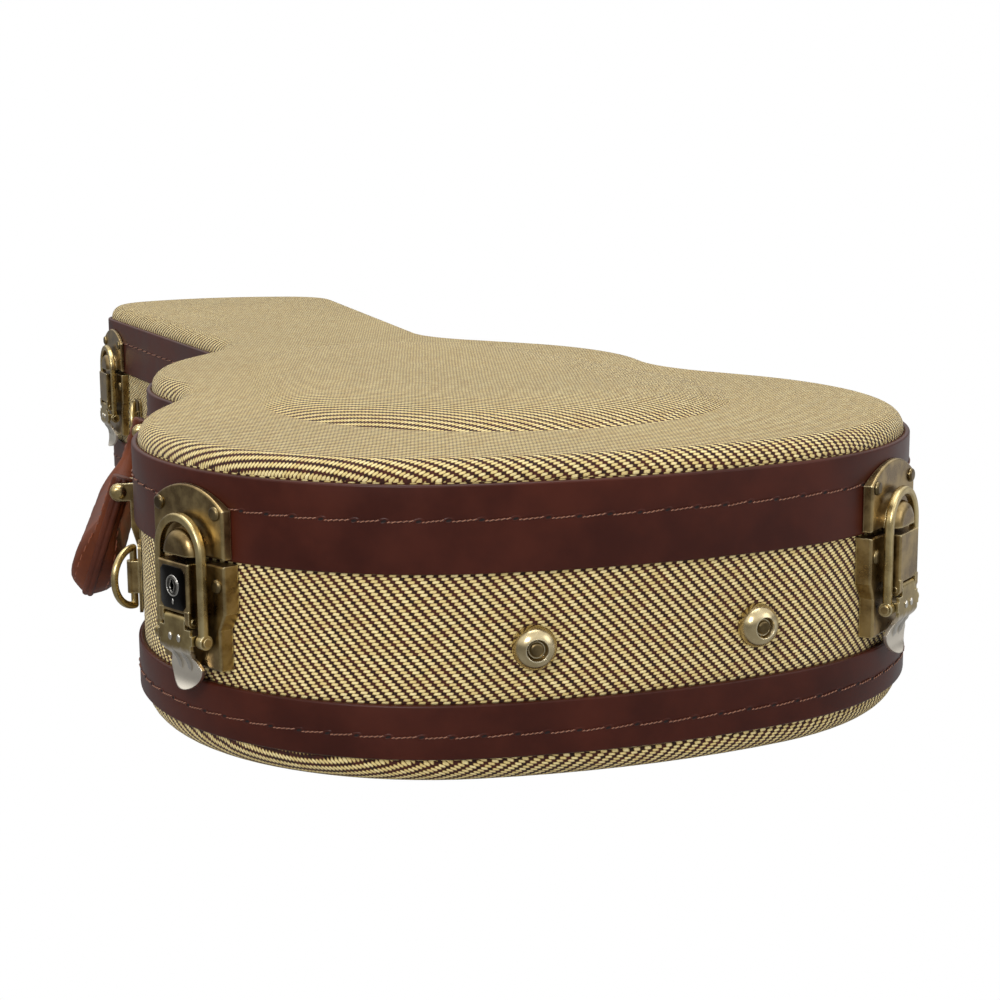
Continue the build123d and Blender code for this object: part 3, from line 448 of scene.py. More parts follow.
def sewn_thread(name, spots, body):
    """Two plies twisted together between holes, low at the start and high at the end; the second
    ply takes a darker copy of the thread, painted shade that makes the twist read.
    """
    mesh = bmesh.new()
    steps = ply_turns * 4
    seat = 1.3 * ply_radius
    for here, there in zip(spots, spots[1:] + spots[:1]):
        place, along, normal = here
        other, along_next, normal_next = there
        start = place + along * leave_ahead - UP * leave_drop
        end = other - along_next * enter_short + UP * enter_rise
        bow = (end - start).length ** 2 / 8 / wall_curve
        for ply in (0, math.pi):
            rings = []
            for k in range(steps + 1):
                t = k / steps
                out = (normal * (1 - t) + normal_next * t).normalized()
                ahead = (along * (1 - t) + along_next * t).normalized()
                sag = bow * 4 * t * (1 - t)
                dip = seat * (1 - min(1.0, 8 * t, 8 * (1 - t)) ** 0.5) * 2
                middle = start.lerp(end, t) + out * (sag + seat - dip)
                side = ahead.cross(out)
                twist = ply + 2 * math.pi * ply_turns * t
                way = side * math.cos(twist) + out * math.sin(twist)
                centre = middle + way * ply_radius * 0.9
                ring = []
                for a in circle(5):
                    spot = centre + (side * math.cos(a) + out * math.sin(a)) * ply_radius
                    ring.append(mesh.verts.new(spot * MM))
                rings.append(ring)
            # The second ply gets the darker thread copy, painted shade that marks the twist.
            capped_rings(mesh, rings, kind=1 if ply else 0)
    new_object(name, mesh, body, "binding_leather", brown_thread, painted_shade_thread)


def punched_holes(name, spots, body):
    """A puckered rim and a shallow funnel at each hole, its heart coloured near black with painted
    shade.
    """
    mesh = bmesh.new()
    funnel = ((2.0, 1.15, -0.02), (1.45, 0.85, 0.16), (1.08, 0.6, 0.22), (0.88, 0.42, 0.1))
    for place, along, normal in spots:
        rings = []
        for reach, rise, lift in funnel:
            ring = []
            for a in circle(12):
                fold = 0.05 * math.sin(3 * a + place.x) if lift > 0.12 else 0.0
                high = math.sin(a) * rise + 0.15 * math.cos(a)
                spot = place + along * (math.cos(a) * reach) + UP * high
                ring.append(mesh.verts.new((spot + normal * (lift + fold)) * MM))
            rings.append(ring)
        join_rings(mesh, rings)
        # The heart lies almost level with the rim; its near-black colour is painted shade.
        heart = mesh.verts.new((place + normal * 0.03) * MM)
        for first, second in zip(ring, ring[1:] + ring[:1]):
            face = mesh.faces.new((first, second, heart))
            face.material_index = 1
    new_object(name, mesh, body, "binding_leather", binding, punched)


def sew_band(name, height, body, seed):
    spots = sewn_spots(outline(band_face - dimple, 2.0), height, seed)
    sewn_thread(name + "_stitches", spots, body)
    punched_holes(name + "_holes", spots, body)


swept_band("lid_band", seam, lid_band_top, lid_stitch_height, "lid", "lid_binding_band")
swept_band(
    "base_band",
    base_band_bottom,
    base_band_top,
    base_stitch_height,
    "case_base",
    "base_binding_band",
)
sew_band("lid_band", lid_stitch_height, "lid", seed=3)
sew_band("base_band", base_stitch_height, "case_base", seed=4)


# Metalwork
# Pressed steel latches, hinges, rings and feet, plated in brass, then darkened and rubbed
# back by hand, so flat faces stay olive brown and every edge is paler, partly worn through and
# partly a painted highlight. The lock case has a black lacquered front, and the thumb tabs have
# lost their brass and show bare steel.
# Latches by distance along the wall; drops are below the seam, all in millimetres
latch_places = {
    "lock_latch": wall_total - 149.72,
    "end_latch": 99.13,
    "head_latch": wall_total - 675.4,
}
boss_across, boss_drop = 2.3, 24.9
rib_across, rib_drop, rib_step, rib_count = 2.5, 29.2, 0.8, 10
rib_half, rib_proud, rib_sunk = 0.65, 1.05, 0.08
front_drop, front_out = 9.2, 10.18
key_drop, key_radius = 8.6, 3.2
collar_out = 10.2
mark_drop = 13.6


# Plated metal: cloudy patina on the flats, paler where two faces meet, partly rubbed wear and
# partly painted highlight, satin gloss
def brass_surface(tree, dark, light, edge, low, high):
    """Colour, roughness and normal of plated metal with rubbed edges."""
    place = add(tree, "TexCoord", {}).outputs["Object"]
    clouds = {"Vector": place, "Scale": 0.11 / MM, "Detail": 5.0, "Roughness": 0.62}
    patina = add(tree, "TexNoise", clouds)
    spots = add(tree, "TexNoise", {"Vector": place, "Scale": 0.9 / MM, "Detail": 3.0})
    soft = add(tree, "Bevel", {"Radius": 0.35 * MM}, samples=4)
    wide = add(tree, "Bevel", {"Radius": 0.9 * MM}, samples=4)
    plain = add(tree, "NewGeometry", {}).outputs["Normal"]
    turn = add(tree, "VectorMath", {0: wide, 1: plain}, operation="DOT_PRODUCT")
    # Edges take the pale edge colour: partly rubbed wear, partly a painted highlight.
    wear_and_edge_highlight = add(tree, "MapRange", {0: turn.outputs["Value"], 1: 0.985, 2: 0.86}, **smooth)
    clouded = add(tree, "MapRange", {0: patina, 1: 0.36, 2: 0.66}, **smooth)
    base = add(tree, "Mix", {0: clouded, 6: dark, 7: light}, **two_colours).outputs[2]
    relief = {"Height": spots, "Strength": 0.1, "Distance": 0.04 * MM, "Normal": soft}
    gloss = {0: patina, 1: 0.3, 2: 0.7, 3: low, 4: high}
    return {
        "Base Color": add(tree, "Mix", {0: wear_and_edge_highlight, 6: base, 7: edge}, **two_colours).outputs[2],
        "Metallic": 1.0,
        "Roughness": add(tree, "MapRange", gloss, **smooth),
        "Normal": add(tree, "Bump", relief),
    }


def brass_material(name, dark, light, edge, low, high):
    made, tree = material(name)
    plated = brass_surface(tree, dark, light, edge, low, high)
    add(tree, "OutputMaterial", {0: add(tree, "BsdfPrincipled", plated)})
    return made


# Aged brass plate, brass rubbed bright, dark rivets and steel, black lacquer on the lock,
# bare and greyed steel, and the paler satin brass of the feet
# The third colour of each is its pale edge colour: worn metal and painted highlight.
aged_brass = brass_material("aged_brass", "#75603e", "#ab9466", "#e6d6a6", 0.25, 0.37)
bright_brass = brass_material("rubbed_brass", "#a38d5e", "#c7b584", "#ece0b8", 0.22, 0.34)
dark_rivet = brass_material("dark_rivet", "#54462f", "#7d6c4b", "#b8a87c", 0.28, 0.42)
dark_steel = brass_material("dark_steel", "#3b3834", "#5c5852", "#c9c5bd", 0.25, 0.36)
lock_black = brass_material("lock_black", "#0b0807", "#17110d", "#3a2f22", 0.18, 0.26)
bare_steel = brass_material("bare_steel", "#b3afa6", "#d0ccc3", "#efece6", 0.24, 0.36)
old_steel = brass_material("old_steel", "#77736c", "#a19c94", "#dedbd4", 0.26, 0.4)
spun_brass = brass_material("spun_brass", "#baa880", "#d3c39c", "#efe4c4", 0.2, 0.3)


# Brass down to the bend of the lever, bare steel on the tab below it, with a ragged edge
def lever_material():
    made, tree = material("worn_lever")
    brass = brass_surface(tree, "#8c784e", "#b5a270", "#ddd0a6", 0.26, 0.38)
    place = add(tree, "TexCoord", {}).outputs["Object"]
    height = add(tree, "SeparateXYZ", {0: place}).outputs[2]
    ragged = add(tree, "TexNoise", {"Vector": place, "Scale": 0.35 / MM, "Detail": 3.0})
    level = add(tree, "Math", {0: ragged, 1: 4.0 * MM, 2: height}, operation="MULTIPLY_ADD")
    bare = add(tree, "MapRange", {0: level, 1: 40.5 * MM, 2: 37.5 * MM}, **smooth)
    wear_and_highlight = add(tree, "Mix", {0: bare, 6: brass["Base Color"], 7: "#e2dacb"}, **two_colours)
    brass["Base Color"] = wear_and_highlight.outputs[2]
    add(tree, "OutputMaterial", {0: add(tree, "BsdfPrincipled", brass)})
    return made


finishes = {
    "lever": lever_material(),
    "rivets": dark_rivet,
    "bail": bright_brass,
    "loop": bright_brass,
    "feet": spun_brass,
}
plain_endings = ("striker", "plate", "housing", "pin", "pins", "leaf")
for name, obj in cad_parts.items():
    ending = name.split("_")[-1]
    if ending in finishes or ending in plain_endings or name.startswith("handle_bracket"):
        dress(obj, finishes.get(ending, aged_brass))
dress(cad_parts["lock_latch_lock_cylinder"], dark_steel)
dress(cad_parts["handle_pins"], bright_brass)


def latch_axes(at):
    """Seam point, direction across and outward normal of a latch, in millimetres."""
    x, y, heading = wall_point(wall_line, at)
    turn = math.radians(heading)
    across = Vector((math.cos(turn), math.sin(turn), 0))
    out = Vector((math.sin(turn), -math.cos(turn), 0))
    return Vector((x, y, seam)), across, out


def surface_point(obj, place, out):
    """Where a line along the normal first meets a piece, coming from outside."""
    hit, found, normal, face = obj.ray_cast((place + out * 40) * MM, -out)
    return found / MM if hit else place


def dome(mesh, centre, across, out, wide, tall, proud):
    """Low oval boss on a face."""
    rings = []
    for share, rise in ((1.0, 0.0), (0.93, 0.45), (0.7, 0.8), (0.35, 0.97)):
        ring = []
        for a in circle(14):
            spot = centre + across * (wide * share * math.cos(a))
            spot = spot + UP * (tall * share * math.sin(a)) + out * (proud * rise)
            ring.append(mesh.verts.new(spot * MM))
        rings.append(ring)
    capped_rings(mesh, rings)


def lever_relief(name, at):
    """Two bosses on the lever's plate and two ribs pressed into its tab."""
    origin, across, out = latch_axes(at)
    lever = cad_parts[name + "_lever"]
    mesh = bmesh.new()
    for side in (-1, 1):
        centre = surface_point(lever, origin + across * side * boss_across - UP * boss_drop, out)
        dome(mesh, centre - out * 0.05, across, out, wide=0.95, tall=1.35, proud=0.6)
    for side in (-1, 1):
        rings = []
        for number in range(rib_count):
            drop = -rib_drop - rib_step * number
            middle = surface_point(lever, origin + across * side * rib_across + UP * drop, out)
            swell = min(1.0, 0.15 + 0.45 * min(number, rib_count - 1 - number))
            ring = []
            for a in (math.pi * q / 6 for q in range(7)):
                spot = middle + across * (rib_half * swell * math.cos(a))
                high = rib_proud * swell * math.sin(a) - rib_sunk
                ring.append(mesh.verts.new((spot + out * high) * MM))
            rings.append(ring)
        join_rings(mesh, rings, closed=False)
    new_object(name + "_relief", mesh, name + "_lever", "aged_brass", bare_steel)


def lock_front(name, at):
    """Lacquered front of the lock case, framed by brass, with a collar round the key."""
    origin, across, out = latch_axes(at)
    mesh = bmesh.new()
    rings = []
    for wide, tall, level in ((6.7, 6.8, 9.9), (6.7, 6.8, 10.1), (6.55, 6.65, front_out)):
        ring = []
        for a in circle(24, shift=0.5):
            c, s = math.cos(a), math.sin(a)
            square = max(abs(c), abs(s)) ** 0.97
            spot = origin + across * (wide * c / square)
            spot = spot + UP * (-front_drop + tall * s / square) + out * level
            ring.append(mesh.verts.new(spot * MM))
        rings.append(ring)
    hub = []
    for a in circle(24, shift=0.5):
        spot = origin + across * (key_radius * math.cos(a))
        spot = spot + UP * (-key_drop + key_radius * math.sin(a)) + out * collar_out
        hub.append(mesh.verts.new(spot * MM))
    join_rings(mesh, rings + [hub])
    new_object(name + "_front", mesh, "case_base", "aged_brass", lock_black)
    collar = bmesh.new()
    sections = []
    for a in circle(32):
        radial = across * math.cos(a) + UP * math.sin(a)
        section = []
        for b in circle(8):
            spot = origin - UP * key_drop + radial * (key_radius + 0.22 * math.cos(b))
            section.append(collar.verts.new((spot + out * (collar_out + 0.25 * math.sin(b))) * MM))
        sections.append(section)
    join_rings(collar, sections + sections[:1])
    mark = origin - UP * mark_drop + out * front_out
    dome(collar, mark, across, out, wide=0.45, tall=1.0, proud=0.3)
    new_object(name + "_collar", collar, "case_base", "aged_brass", old_steel)


for name, at in latch_places.items():
    lever_relief(name, at)
lock_front("lock_latch", latch_places["lock_latch"])


# Handle
# A carrying grip of red-brown leather folded over a thick core and sewn along a raised
# welt on its outer edge. It narrows to a tab at each end, where a ball-headed pin holds
# it between the ears of a bracket.
handle_front = Vector((-132.897, 50.502, 71.0))
handle_rear = Vector((-100.263, 191.883, 71.0))
handle_axis = (handle_rear - handle_front).normalized()
handle_span = (handle_rear - handle_front).length
handle_out = Vector((-handle_axis.y, handle_axis.x, 0))
lean = math.radians(19.0)
handle_down = handle_out * math.sin(lean) - Vector((0, 0, math.cos(lean)))
handle_face = handle_axis.cross(handle_down)
tab_half, grip_gain = 3.6, 4.7
tab_end, swell_run = 11.0, 20.0
handle_stitch_pitch = 4.2
handle_stitch_inset = 3.2
handle_thread_radius = 0.3
curve_steps = 6

waxed = leather_material("handle_leather", "#431a07", "#652d0c", 0.5, 0.9, 0.12 * MM)
welt_leather = leather_material("welt_leather", "#3a160a", "#5a2813", 0.5, 0.9, 0.1 * MM)
tan_thread = thread_material("tan_thread", "#6a3018", "#8a4a28")


def smooth_line(points):
    """Catmull-Rom curve through points in the plane."""
    ends = [points[0]] + points + [points[-1]]
    line = []
    for i in range(len(points) - 1):
        a, b, c, d = (Vector(p) for p in ends[i : i + 4])
        for k in range(curve_steps):
            t = k / curve_steps
            square = (2 * a - 5 * b + 4 * c - d) * t * t
            cube = (3 * b - a - 3 * c + d) * t**3
            line.append(0.5 * ((2 * b) + (c - a) * t + square + cube))
    line.append(Vector(points[-1]))
    return line


def mirrored(half):
    return half + [(handle_span - s, d) for s, d in reversed(half[:-1])]


# Half of the grip's edges from the front pin: along the line of the pins, and out from it
outer_half = [
    (-4.3, -4.4), (-4.4, 3.0), (-3.4, 12.0), (1.4, 24.0),
    (7.6, 35.0), (16.0, 42.4), (29.0, 45.4), (handle_span / 2, 45.8),
]
inner_half = [
    (4.3, -4.4), (4.3, 2.0), (4.7, 7.5), (8.6, 13.0),
    (14.4, 17.8), (21.0, 20.6), (32.0, 21.4), (handle_span / 2, 21.8),
]
outer_edge = smooth_line(mirrored(outer_half))
inner_edge = smooth_line(mirrored(inner_half))


def on_handle(flat, thick):
    return handle_front + handle_axis * flat.x + handle_down * flat.y + handle_face * thick


def plumpness(far, near):
    """Half thickness of the leather over its core, from the tab to the full grip."""
    rise = min(1.0, max(0.0, (far.y + near.y) / 2 - tab_end) / swell_run)
    return tab_half + grip_gain * rise * rise * (3 - 2 * rise)


def pinch(share):
    """How far the grip is pressed flat towards its welt."""
    return 1.0 - 0.6 * (max(0.0, share - 0.5) / 0.5) ** 1.6


def build_grip():
    mesh = bmesh.new()
    rings = []
    for far, near in zip(outer_edge, inner_edge):
        plump = plumpness(far, near)
        ring = []
        for a in circle(36):
            c, s = math.cos(a), math.sin(a)
            reach = math.copysign(abs(c) ** 0.8, c)
            thick = math.copysign(abs(s) ** 0.85, s) * plump * pinch(c)
            flat = (far + near) / 2 + (far - near) / 2 * reach
            spot = on_handle(flat, thick)
            sway = noise.noise(spot * 0.09) * 0.35 + noise.noise(spot * 0.32) * 0.12
            ring.append(mesh.verts.new(on_handle(flat, thick + math.copysign(sway, s)) * MM))
        rings.append(ring)
    capped_rings(mesh, rings)
    grip = new_object("handle_leather_grip", mesh, "handle", "handle_leather", waxed)
    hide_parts("handle_grip")


def build_welt():
    """Cut edges of the leather, glued face to face: a raised dark rim with a groove between."""
    mesh = bmesh.new()
    section = (
        (-4.0, -2.3), (-0.5, -2.1), (0.2, -1.7), (0.5, -1.0), (0.45, -0.3), (0.2, 0.0),
        (0.45, 0.3), (0.5, 1.0), (0.2, 1.7), (-0.5, 2.1), (-4.0, 2.3),
    )
    rings = []
    for far, near in zip(outer_edge, inner_edge):
        away = (far - near).normalized()
        spots = [on_handle(far + away * reach, thick) * MM for reach, thick in section]
        rings.append([mesh.verts.new(spot) for spot in spots])
    capped_rings(mesh, rings)
    new_object("handle_welt", mesh, "handle", "handle_leather", welt_leather)


def build_handle_stitches():
    """Saddle stitches on both sides, a few millimetres in from the welt."""
    for label, side in (("near", -1), ("far", 1)):
        mesh = bmesh.new()
        walked, waiting = 0.0, 4.0
        for before, far, near in zip(outer_edge, outer_edge[1:], inner_edge[1:]):
            walked += (far - before).length
            if walked < waiting:
                continue
            waiting += handle_stitch_pitch
            away = (far - near).normalized()
            ahead = (far - before).normalized()
            c = 1.0 - handle_stitch_inset / ((far - near).length / 2)
            sine = (1 - min(1.0, abs(c) ** 1.25) ** 2) ** 0.5
            level = plumpness(far, near) * sine**0.85 * pinch(c)
            rings = []
            for t, swell in ((-1.5, 0.4), (-1.1, 0.95), (0.0, 1.1), (1.1, 0.95), (1.5, 0.4)):
                flat = far - away * handle_stitch_inset + ahead * t
                centre = on_handle(flat, side * (level + 0.12))
                outward = handle_axis * away.x + handle_down * away.y
                radius = handle_thread_radius * swell
                ring = []
                for a in circle(7):
                    spot = centre + outward * (radius * math.cos(a))
                    ring.append(mesh.verts.new((spot + handle_face * (radius * math.sin(a))) * MM))
                rings.append(ring)
            capped_rings(mesh, rings)
        new_object("handle_stitches_" + label, mesh, "handle", "handle_leather", tan_thread)


build_grip()
build_welt()
build_handle_stitches()


# Linings
# Burgundy plush over foam: a body recess and a neck channel sunk into the base pad with
# rolled edges, a tray pad under the lid, and a notched cradle for the neck. The lidded
# box for small things, its flap and the dust lip are board covered with the same plush.
# Circles hold a centre along the case and a radius; runs hold start, end and half width
lining_top = 64.3
lining_inset = -7.9
pad_bottom = 4.95
recess_floor = 10.2
box_floor = 5.1
body_circles = ((13.0, 103.0), (115.0, 77.0))
neck_run = (60.0, 390.0, 26.0)
headstock_run = (385.0, 488.0, 41.0)
box_run = (196.0, 318.0, 33.6)
recess_corner, box_corner = 9.0, 1.0
lip_roll, lip_slope = 5.0, 1.5
fillet_rise, fillet_run = 4.0, 5.0
brim_width, brim_fall = 2.0, 1.2
cradle_middle_y, notch_radius, notch_height = 297.9, 21.0, 64.0
tab_x, tab_y, tab_radius, tab_stretch = 25.4, 242.3, 4.9, 2.1


# Pile fabric: a dark matt body, and a paler rim where the fibres catch the light
def plush_material():
    made, tree = material("plush")
    place = add(tree, "TexCoord", {}).outputs["Object"]
    brushed = {"Vector": place, "Scale": 0.045 / MM, "Detail": 4.0, "Roughness": 0.65}
    nap = add(tree, "TexNoise", brushed)
    laid = add(tree, "MapRange", {0: nap, 1: 0.3, 2: 0.7}, **smooth)
    tone = add(tree, "Mix", {0: laid, 6: "#480d13", 7: "#5f141b"}, **two_colours)
    fibre = add(tree, "TexNoise", {"Vector": place, "Scale": 2.2 / MM, "Detail": 2.0})
    bump = add(tree, "Bump", {"Height": fibre, "Strength": 0.7, "Distance": 0.5 * MM})
    pile = {
        "Base Color": tone.outputs[2],
        "Roughness": 0.95,
        "Specular IOR Level": 0.2,
        "Sheen Weight": 0.6,
        "Sheen Roughness": 0.35,
        "Sheen Tint": "#b0606a",
        "Normal": bump,
    }
    add(tree, "OutputMaterial", {0: add(tree, "BsdfPrincipled", pile)})
    return made


plush = plush_material()
for name in ("accessory_box", "accessory_flap", "dust_lip"):
    dress(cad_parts[name], plush)


def edge_width(line, y):
    """Half width of an outline at a station along the case."""
    half = line[: len(line) // 2 + 1]
    for first, second in zip(half, half[1:]):
        if first[1] <= y <= second[1]:
            share = (y - first[1]) / max(second[1] - first[1], 1e-9)
            return first[0] + (second[0] - first[0]) * share
    return 0.0


def round_box(x, y, run, corner):
    """Distance outside a rounded rectangle on the centre line."""
    low, high, half = run
    dx = abs(x) - half + corner
    dy = abs(y - (low + high) / 2) - (high - low) / 2 + corner
    return math.hypot(max(dx, 0), max(dy, 0)) + min(max(dx, dy), 0) - corner


def soft_least(a, b, width):
    share = max(0.0, 1 - abs(a - b) / width)
    return min(a, b) - share * share * width / 4


def recess_gap(x, y):
    """Distance outside the recess: two bouts, the neck channel and the headstock, blended."""
    bouts = [math.hypot(x, y - cy) - r for cy, r in body_circles]
    body = soft_least(bouts[0], bouts[1], 34.0)
    neck = round_box(x, y, neck_run, recess_corner)
    head = round_box(x, y, headstock_run, recess_corner)
    return min(soft_least(body, neck, 8.0), soft_least(head, neck, 6.0))


def pad_level(gap):
    """Height of the pad at a distance from the recess: flat, rolled lip, wall, fillet, floor."""
    lip_foot = lining_top - lip_roll
    if gap >= lip_roll:
        return lining_top
    if gap >= 0:
        return lip_foot + math.sqrt(lip_roll * lip_roll - (lip_roll - gap) ** 2)
    if gap > -lip_slope:
        return lip_foot + (lip_foot - recess_floor - fillet_rise) * gap / lip_slope
    return recess_floor + fillet_rise * max(0.0, 1 + (gap + lip_slope) / fillet_run) ** 2


def base_pad():
    edge = outline(lining_inset, 2.0)
    lowest, highest = edge[0][1] + 0.5, max(p[1] for p in edge) - 0.5
    recess_start = body_circles[0][0] - body_circles[0][1]
    keys = [recess_start, *box_run[:2], *headstock_run[:2], lowest, highest]
    stations = []
    y = lowest
    while y < highest:
        stations.append(y)
        y += 0.9 if min(abs(y - k) for k in keys) < 7 else 2.6
    stations.append(highest)
    mesh = bmesh.new()
    top, bottom = [], []
    for y in stations:
        wide = edge_width(edge, y)
        inner = 10.0
        while (
            inner < wide - 4
            and min(recess_gap(inner, y), round_box(inner, y, box_run, box_corner)) < 0
        ):
            inner += 0.5
        room = wide - inner
        reach = [inner * s for s in (0.0, 0.25, 0.5, 0.72, 0.86, 0.94, 0.975)]
        reach += [inner - 1.5, inner - 0.7, inner]
        for offset, share in ((0.6, 0.1), (1.5, 0.2), (3.0, 0.35), (5.0, 0.55)):
            reach.append(inner + min(offset, room * share))
        reach += [inner + room * 0.75, wide - min(1.5, room * 0.12), wide]
        reach = sorted(reach)
        xs = [-r for r in reversed(reach)] + reach[1:]
        row = []
        for x in xs:
            level = pad_level(recess_gap(x, y))
            if round_box(x, y, box_run, box_corner) < 0.6:
                level = min(level, box_floor)
            brim = min(wide - abs(x), y - lowest, highest - y)
            if brim < brim_width:
                level -= brim_fall * (1 - brim / brim_width) ** 2
            if level > 8:
                level += 0.35 * noise.noise(Vector((x * 0.05, y * 0.05, 0)))
            row.append(mesh.verts.new((x * MM, y * MM, level * MM)))
        top.append(row)
        bottom.append([mesh.verts.new((x * MM, y * MM, pad_bottom * MM)) for x in (xs[0], xs[-1])])
    join_rings(mesh, top, closed=False)
    for i in range(len(top) - 1):
        (left, right), (left_next, right_next) = bottom[i], bottom[i + 1]
        mesh.faces.new((left, top[i][0], top[i + 1][0], left_next))
        mesh.faces.new((right, right_next, top[i + 1][-1], top[i][-1]))
        mesh.faces.new((left, left_next, right_next, right))
    mesh.faces.new([bottom[0][0], bottom[0][1]] + top[0][::-1])
    mesh.faces.new([bottom[-1][1], bottom[-1][0]] + top[-1])
    pad = new_object("base_plush_pad", mesh, "case_base", "plush_lining", plush)
    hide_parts("base_lining")


def fill_ring(mesh, ring, columns, bulge):
    """Spans a closed ring, symmetric about the centre line, with a slightly domed sheet."""
    count = len(ring)
    half = count // 2
    rows = []
    for i in range(1, half):
        right, left = ring[i], ring[count - i]
        row = [right]
        for c in range(1, columns):
            t = c / columns
            spot = right.co.lerp(left.co, t)
            spot.z += bulge * MM * math.sin(math.pi * t) ** 0.5
            row.append(mesh.verts.new(spot))
        rows.append(row + [left])
    join_rings(mesh, rows, closed=False)
    for tip, row in ((ring[0], rows[0]), (ring[half], rows[-1])):
        for a, b in zip(row, row[1:]):
            mesh.faces.new((tip, a, b))


def lid_pad():
    mesh = bmesh.new()
    section = (
        (-4.9, 94.5), (-4.9, 75.4), (-5.2, 74.3), (-6.2, 73.75), (-7.3, 74.2),
        (-7.8, 75.4), (-7.9, 82.0), (-8.1, 88.0), (-9.2, 90.6), (-12.0, 91.5),
        (-16.0, 91.2), (-22.0, 90.9), (-30.0, 90.8),
    )
    rings = []
    for growth, height in section:
        line = outline(growth, 4.0)
        rings.append([mesh.verts.new((p[0] * MM, p[1] * MM, height * MM)) for p in line])
    join_rings(mesh, rings)
    fill_ring(mesh, rings[0], 6, 0.0)
    fill_ring(mesh, rings[-1], 10, -0.7)
    pad = new_object("lid_plush_pad", mesh, "lid", "plush_lining", plush)
    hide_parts("lid_lining")


def cradle_pad():
    """Foam block under plush, with a round notch and plump edges."""
    side = [(-32.4, 5.0), (-32.4, 50.0), (-31.9, 55.0), (-29.5, 57.6), (-25.0, 58.0)]
    profile = list(side)
    for i in range(15):
        angle = math.radians(203 + i * (134 / 14))
        height = notch_height + notch_radius * math.sin(angle)
        profile.append((notch_radius * math.cos(angle), height))
    profile += [(-x, z) for x, z in reversed(side)]
    fine = []
    for (ax, az), (bx, bz) in zip(profile, profile[1:]):
        parts = max(1, int(math.hypot(bx - ax, bz - az) / 5))
        for k in range(parts):
            fine.append((ax + (bx - ax) * k / parts, az + (bz - az) * k / parts))
    fine.append(profile[-1])
    mesh = bmesh.new()
    rings = []
    for y, inset in (
        (-8.9, 3.0), (-8.5, 1.5), (-7.4, 0.5), (-4.0, 0.0), (0.0, -0.2),
        (4.0, 0.0), (7.4, 0.5), (8.5, 1.5), (8.9, 3.0),
    ):
        ring = []
        for i, (px, pz) in enumerate(fine):
            ax, az = fine[max(i - 1, 0)]
            bx, bz = fine[min(i + 1, len(fine) - 1)]
            along = Vector((bx - ax, bz - az)).normalized()
            x = px + along.y * inset
            z = pz + -along.x * inset if pz > 6 else pz
            ring.append(mesh.verts.new((x * MM, (cradle_middle_y + y) * MM, z * MM)))
        rings.append(ring)
    capped_rings(mesh, rings)
    pad = new_object("cradle_plush_pad", mesh, "case_base", "plush_lining", plush)
    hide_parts("neck_cradle")


def pull_tab():
    """Doubled leather tab with a sewn rim, glued to the flap."""
    mesh = bmesh.new()
    rings = []
    for inset, height in (
        (0.5, 31.25), (0.0, 31.5), (0.0, 31.9), (0.4, 32.15),
        (1.2, 32.2), (1.6, 31.95), (2.1, 32.2),
    ):
        ring = []
        radius = tab_radius - inset
        for a in circle(28):
            x = tab_x + math.copysign(tab_stretch, math.cos(a)) + radius * math.cos(a)
            y = tab_y + radius * math.sin(a)
            ring.append(mesh.verts.new((x * MM, y * MM, height * MM)))
        rings.append(ring)
    capped_rings(mesh, rings)
    tab = new_object("flap_leather_tab", mesh, "flap", "tab_leather", binding)
    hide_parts("flap_pull_tab")


base_pad()
lid_pad()
cradle_pad()
pull_tab()


# Set and light
# A white table that runs into a white backdrop, lit by a square softbox at the front left,
# a weaker one at the front right and one overhead. The camera has a long lens and looks
# slightly down on the lower end, with the case running away to the left.
yaw, pitch, roll = -0.3502, 0.1817, -0.0067
camera_place = Vector((-247.1, -544.1 + lower_end_y, 194.7)) * MM
focal_length = 72.69


def box_light(name, place, target, size, power):
    data = bpy.data.lights.new(name, "AREA")
    data.shape = "RECTANGLE"
    data.size = data.size_y = size
    data.energy = power
    obj = bpy.data.objects.new(name, data)
    bpy.context.scene.collection.objects.link(obj)
    obj.location = place
    obj.rotation_mode = "QUATERNION"
    obj.rotation_quaternion = (Vector(target) - Vector(place)).to_track_quat("-Z", "Y")


# Matt white paper: pure white to the camera, and shaded from left to right in the metal
def white_floor():
    made, tree = material("white_floor")
    route = add(tree, "LightPath", {})
    paper = add(tree, "BsdfDiffuse", {0: "#f4f4f4"})
    glow = add(tree, "Emission", {0: "#ffffff", 1: 1.0})
    place = add(tree, "SeparateXYZ", {0: add(tree, "TexCoord", {}).outputs["Object"]})
    shade = add(tree, "MapRange", {0: place, 1: -0.5, 2: 0.9, 3: 0.26, 4: 0.8}, **smooth)
    mirrored_floor = add(tree, "Emission", {0: "#ffffff", 1: shade})
    glossy, seen = route.outputs["Is Glossy Ray"], route.outputs["Is Camera Ray"]
    lit = add(tree, "MixShader", {0: glossy, 1: paper, 2: mirrored_floor})
    add(tree, "OutputMaterial", {0: add(tree, "MixShader", {0: seen, 1: lit, 2: glow})})
    mesh = bmesh.new()
    bmesh.ops.create_grid(mesh, x_segments=1, y_segments=1, size=6.0)
    data = bpy.data.meshes.new("floor")
    mesh.to_mesh(data)
    mesh.free()
    floor = bpy.data.objects.new("floor", data)
    bpy.context.scene.collection.objects.link(floor)
    floor.location.z = -0.2 * MM
    floor.data.materials.append(made)


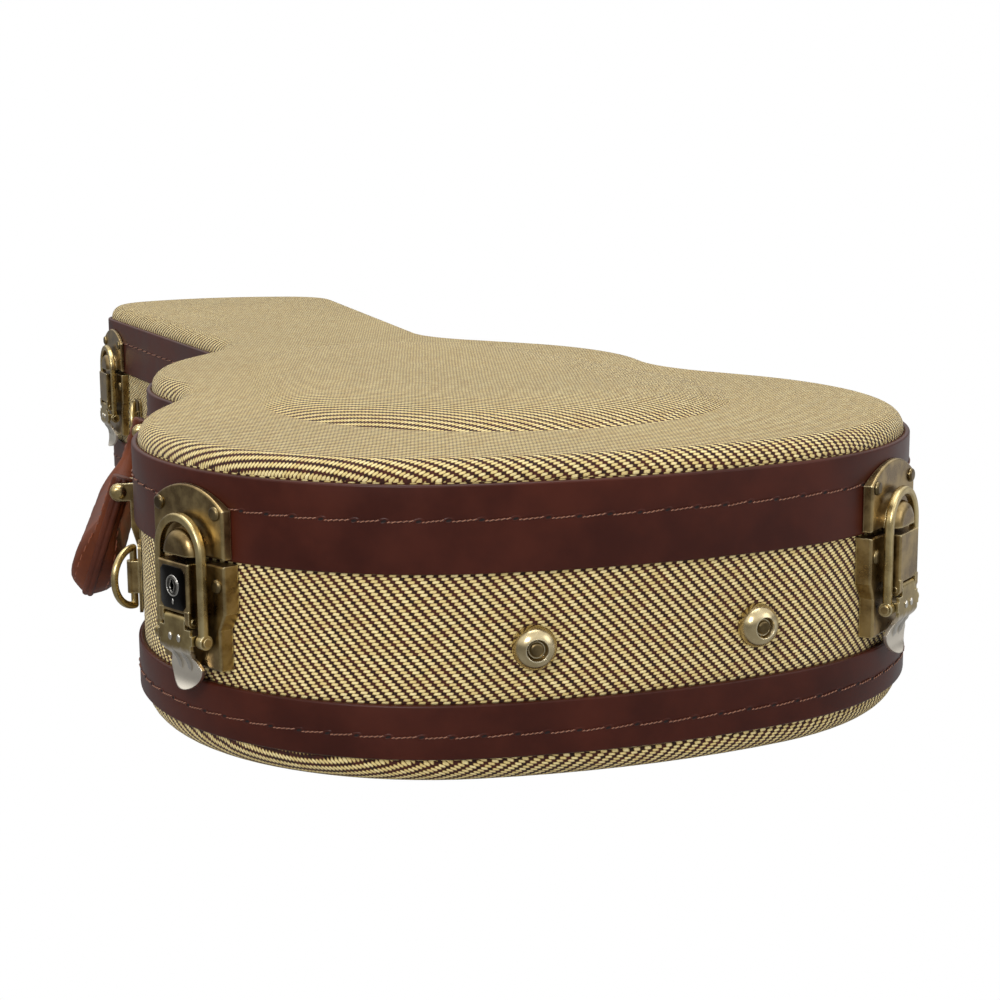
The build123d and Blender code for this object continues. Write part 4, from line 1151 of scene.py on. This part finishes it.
def studio_world():
    """Soft even light; metal sees a bright ceiling over a dark horizon, the camera sees white."""
    world = bpy.data.worlds.new("studio")
    bpy.context.scene.world = world
    world.use_nodes = True
    tree = world.node_tree
    tree.nodes.clear()
    route = add(tree, "LightPath", {})
    way = add(tree, "SeparateXYZ", {0: add(tree, "TexCoord", {}).outputs["Generated"]})
    ceiling = {0: way.outputs[2], 1: 0.05, 2: 0.5, 3: 0.28, 4: 1.15}
    strength = add(tree, "MapRange", ceiling, **smooth)
    even = add(tree, "Background", {0: "#ffffff", 1: 0.45})
    mirrored_room = add(tree, "Background", {0: "#ffffff", 1: strength})
    white = add(tree, "Background", {0: "#ffffff", 1: 1.0})
    glossy, seen = route.outputs["Is Glossy Ray"], route.outputs["Is Camera Ray"]
    room = add(tree, "MixShader", {0: glossy, 1: even, 2: mirrored_room})
    add(tree, "OutputWorld", {0: add(tree, "MixShader", {0: seen, 1: room, 2: white})})


white_floor()
studio_world()
box_light("key", (-1.3, -1.5, 1.3), target=(0, 0.1, 0.05), size=0.6, power=24.0)
box_light("fill", (1.5, -1.3, 0.9), target=(0, 0.0, 0.05), size=1.0, power=5.5)
box_light("top", (0.0, 0.3, 1.7), target=(0, 0.2, 0.0), size=1.2, power=20.0)

camera_data = bpy.data.cameras.new("camera")
camera = bpy.data.objects.new("camera", camera_data)
bpy.context.scene.collection.objects.link(camera)
bpy.context.scene.camera = camera
flat_way = Vector((-math.sin(yaw), math.cos(yaw), 0)) * math.cos(pitch)
forward = flat_way - Vector((0, 0, math.sin(pitch)))
level_right = Vector((math.cos(yaw), math.sin(yaw), 0))
level_up = level_right.cross(forward)
camera_right = level_right * math.cos(roll) + level_up * math.sin(roll)
camera_up = level_up * math.cos(roll) - level_right * math.sin(roll)
camera.rotation_mode = "QUATERNION"
camera.rotation_quaternion = (
    Matrix((camera_right, camera_up, -forward)).transposed().to_quaternion()
)
camera.location = camera_place
camera_data.sensor_width = 36.0
camera_data.lens = focal_length
camera_data.clip_start, camera_data.clip_end = 0.05, 30.0
bpy.context.scene.view_settings.view_transform = "Standard"
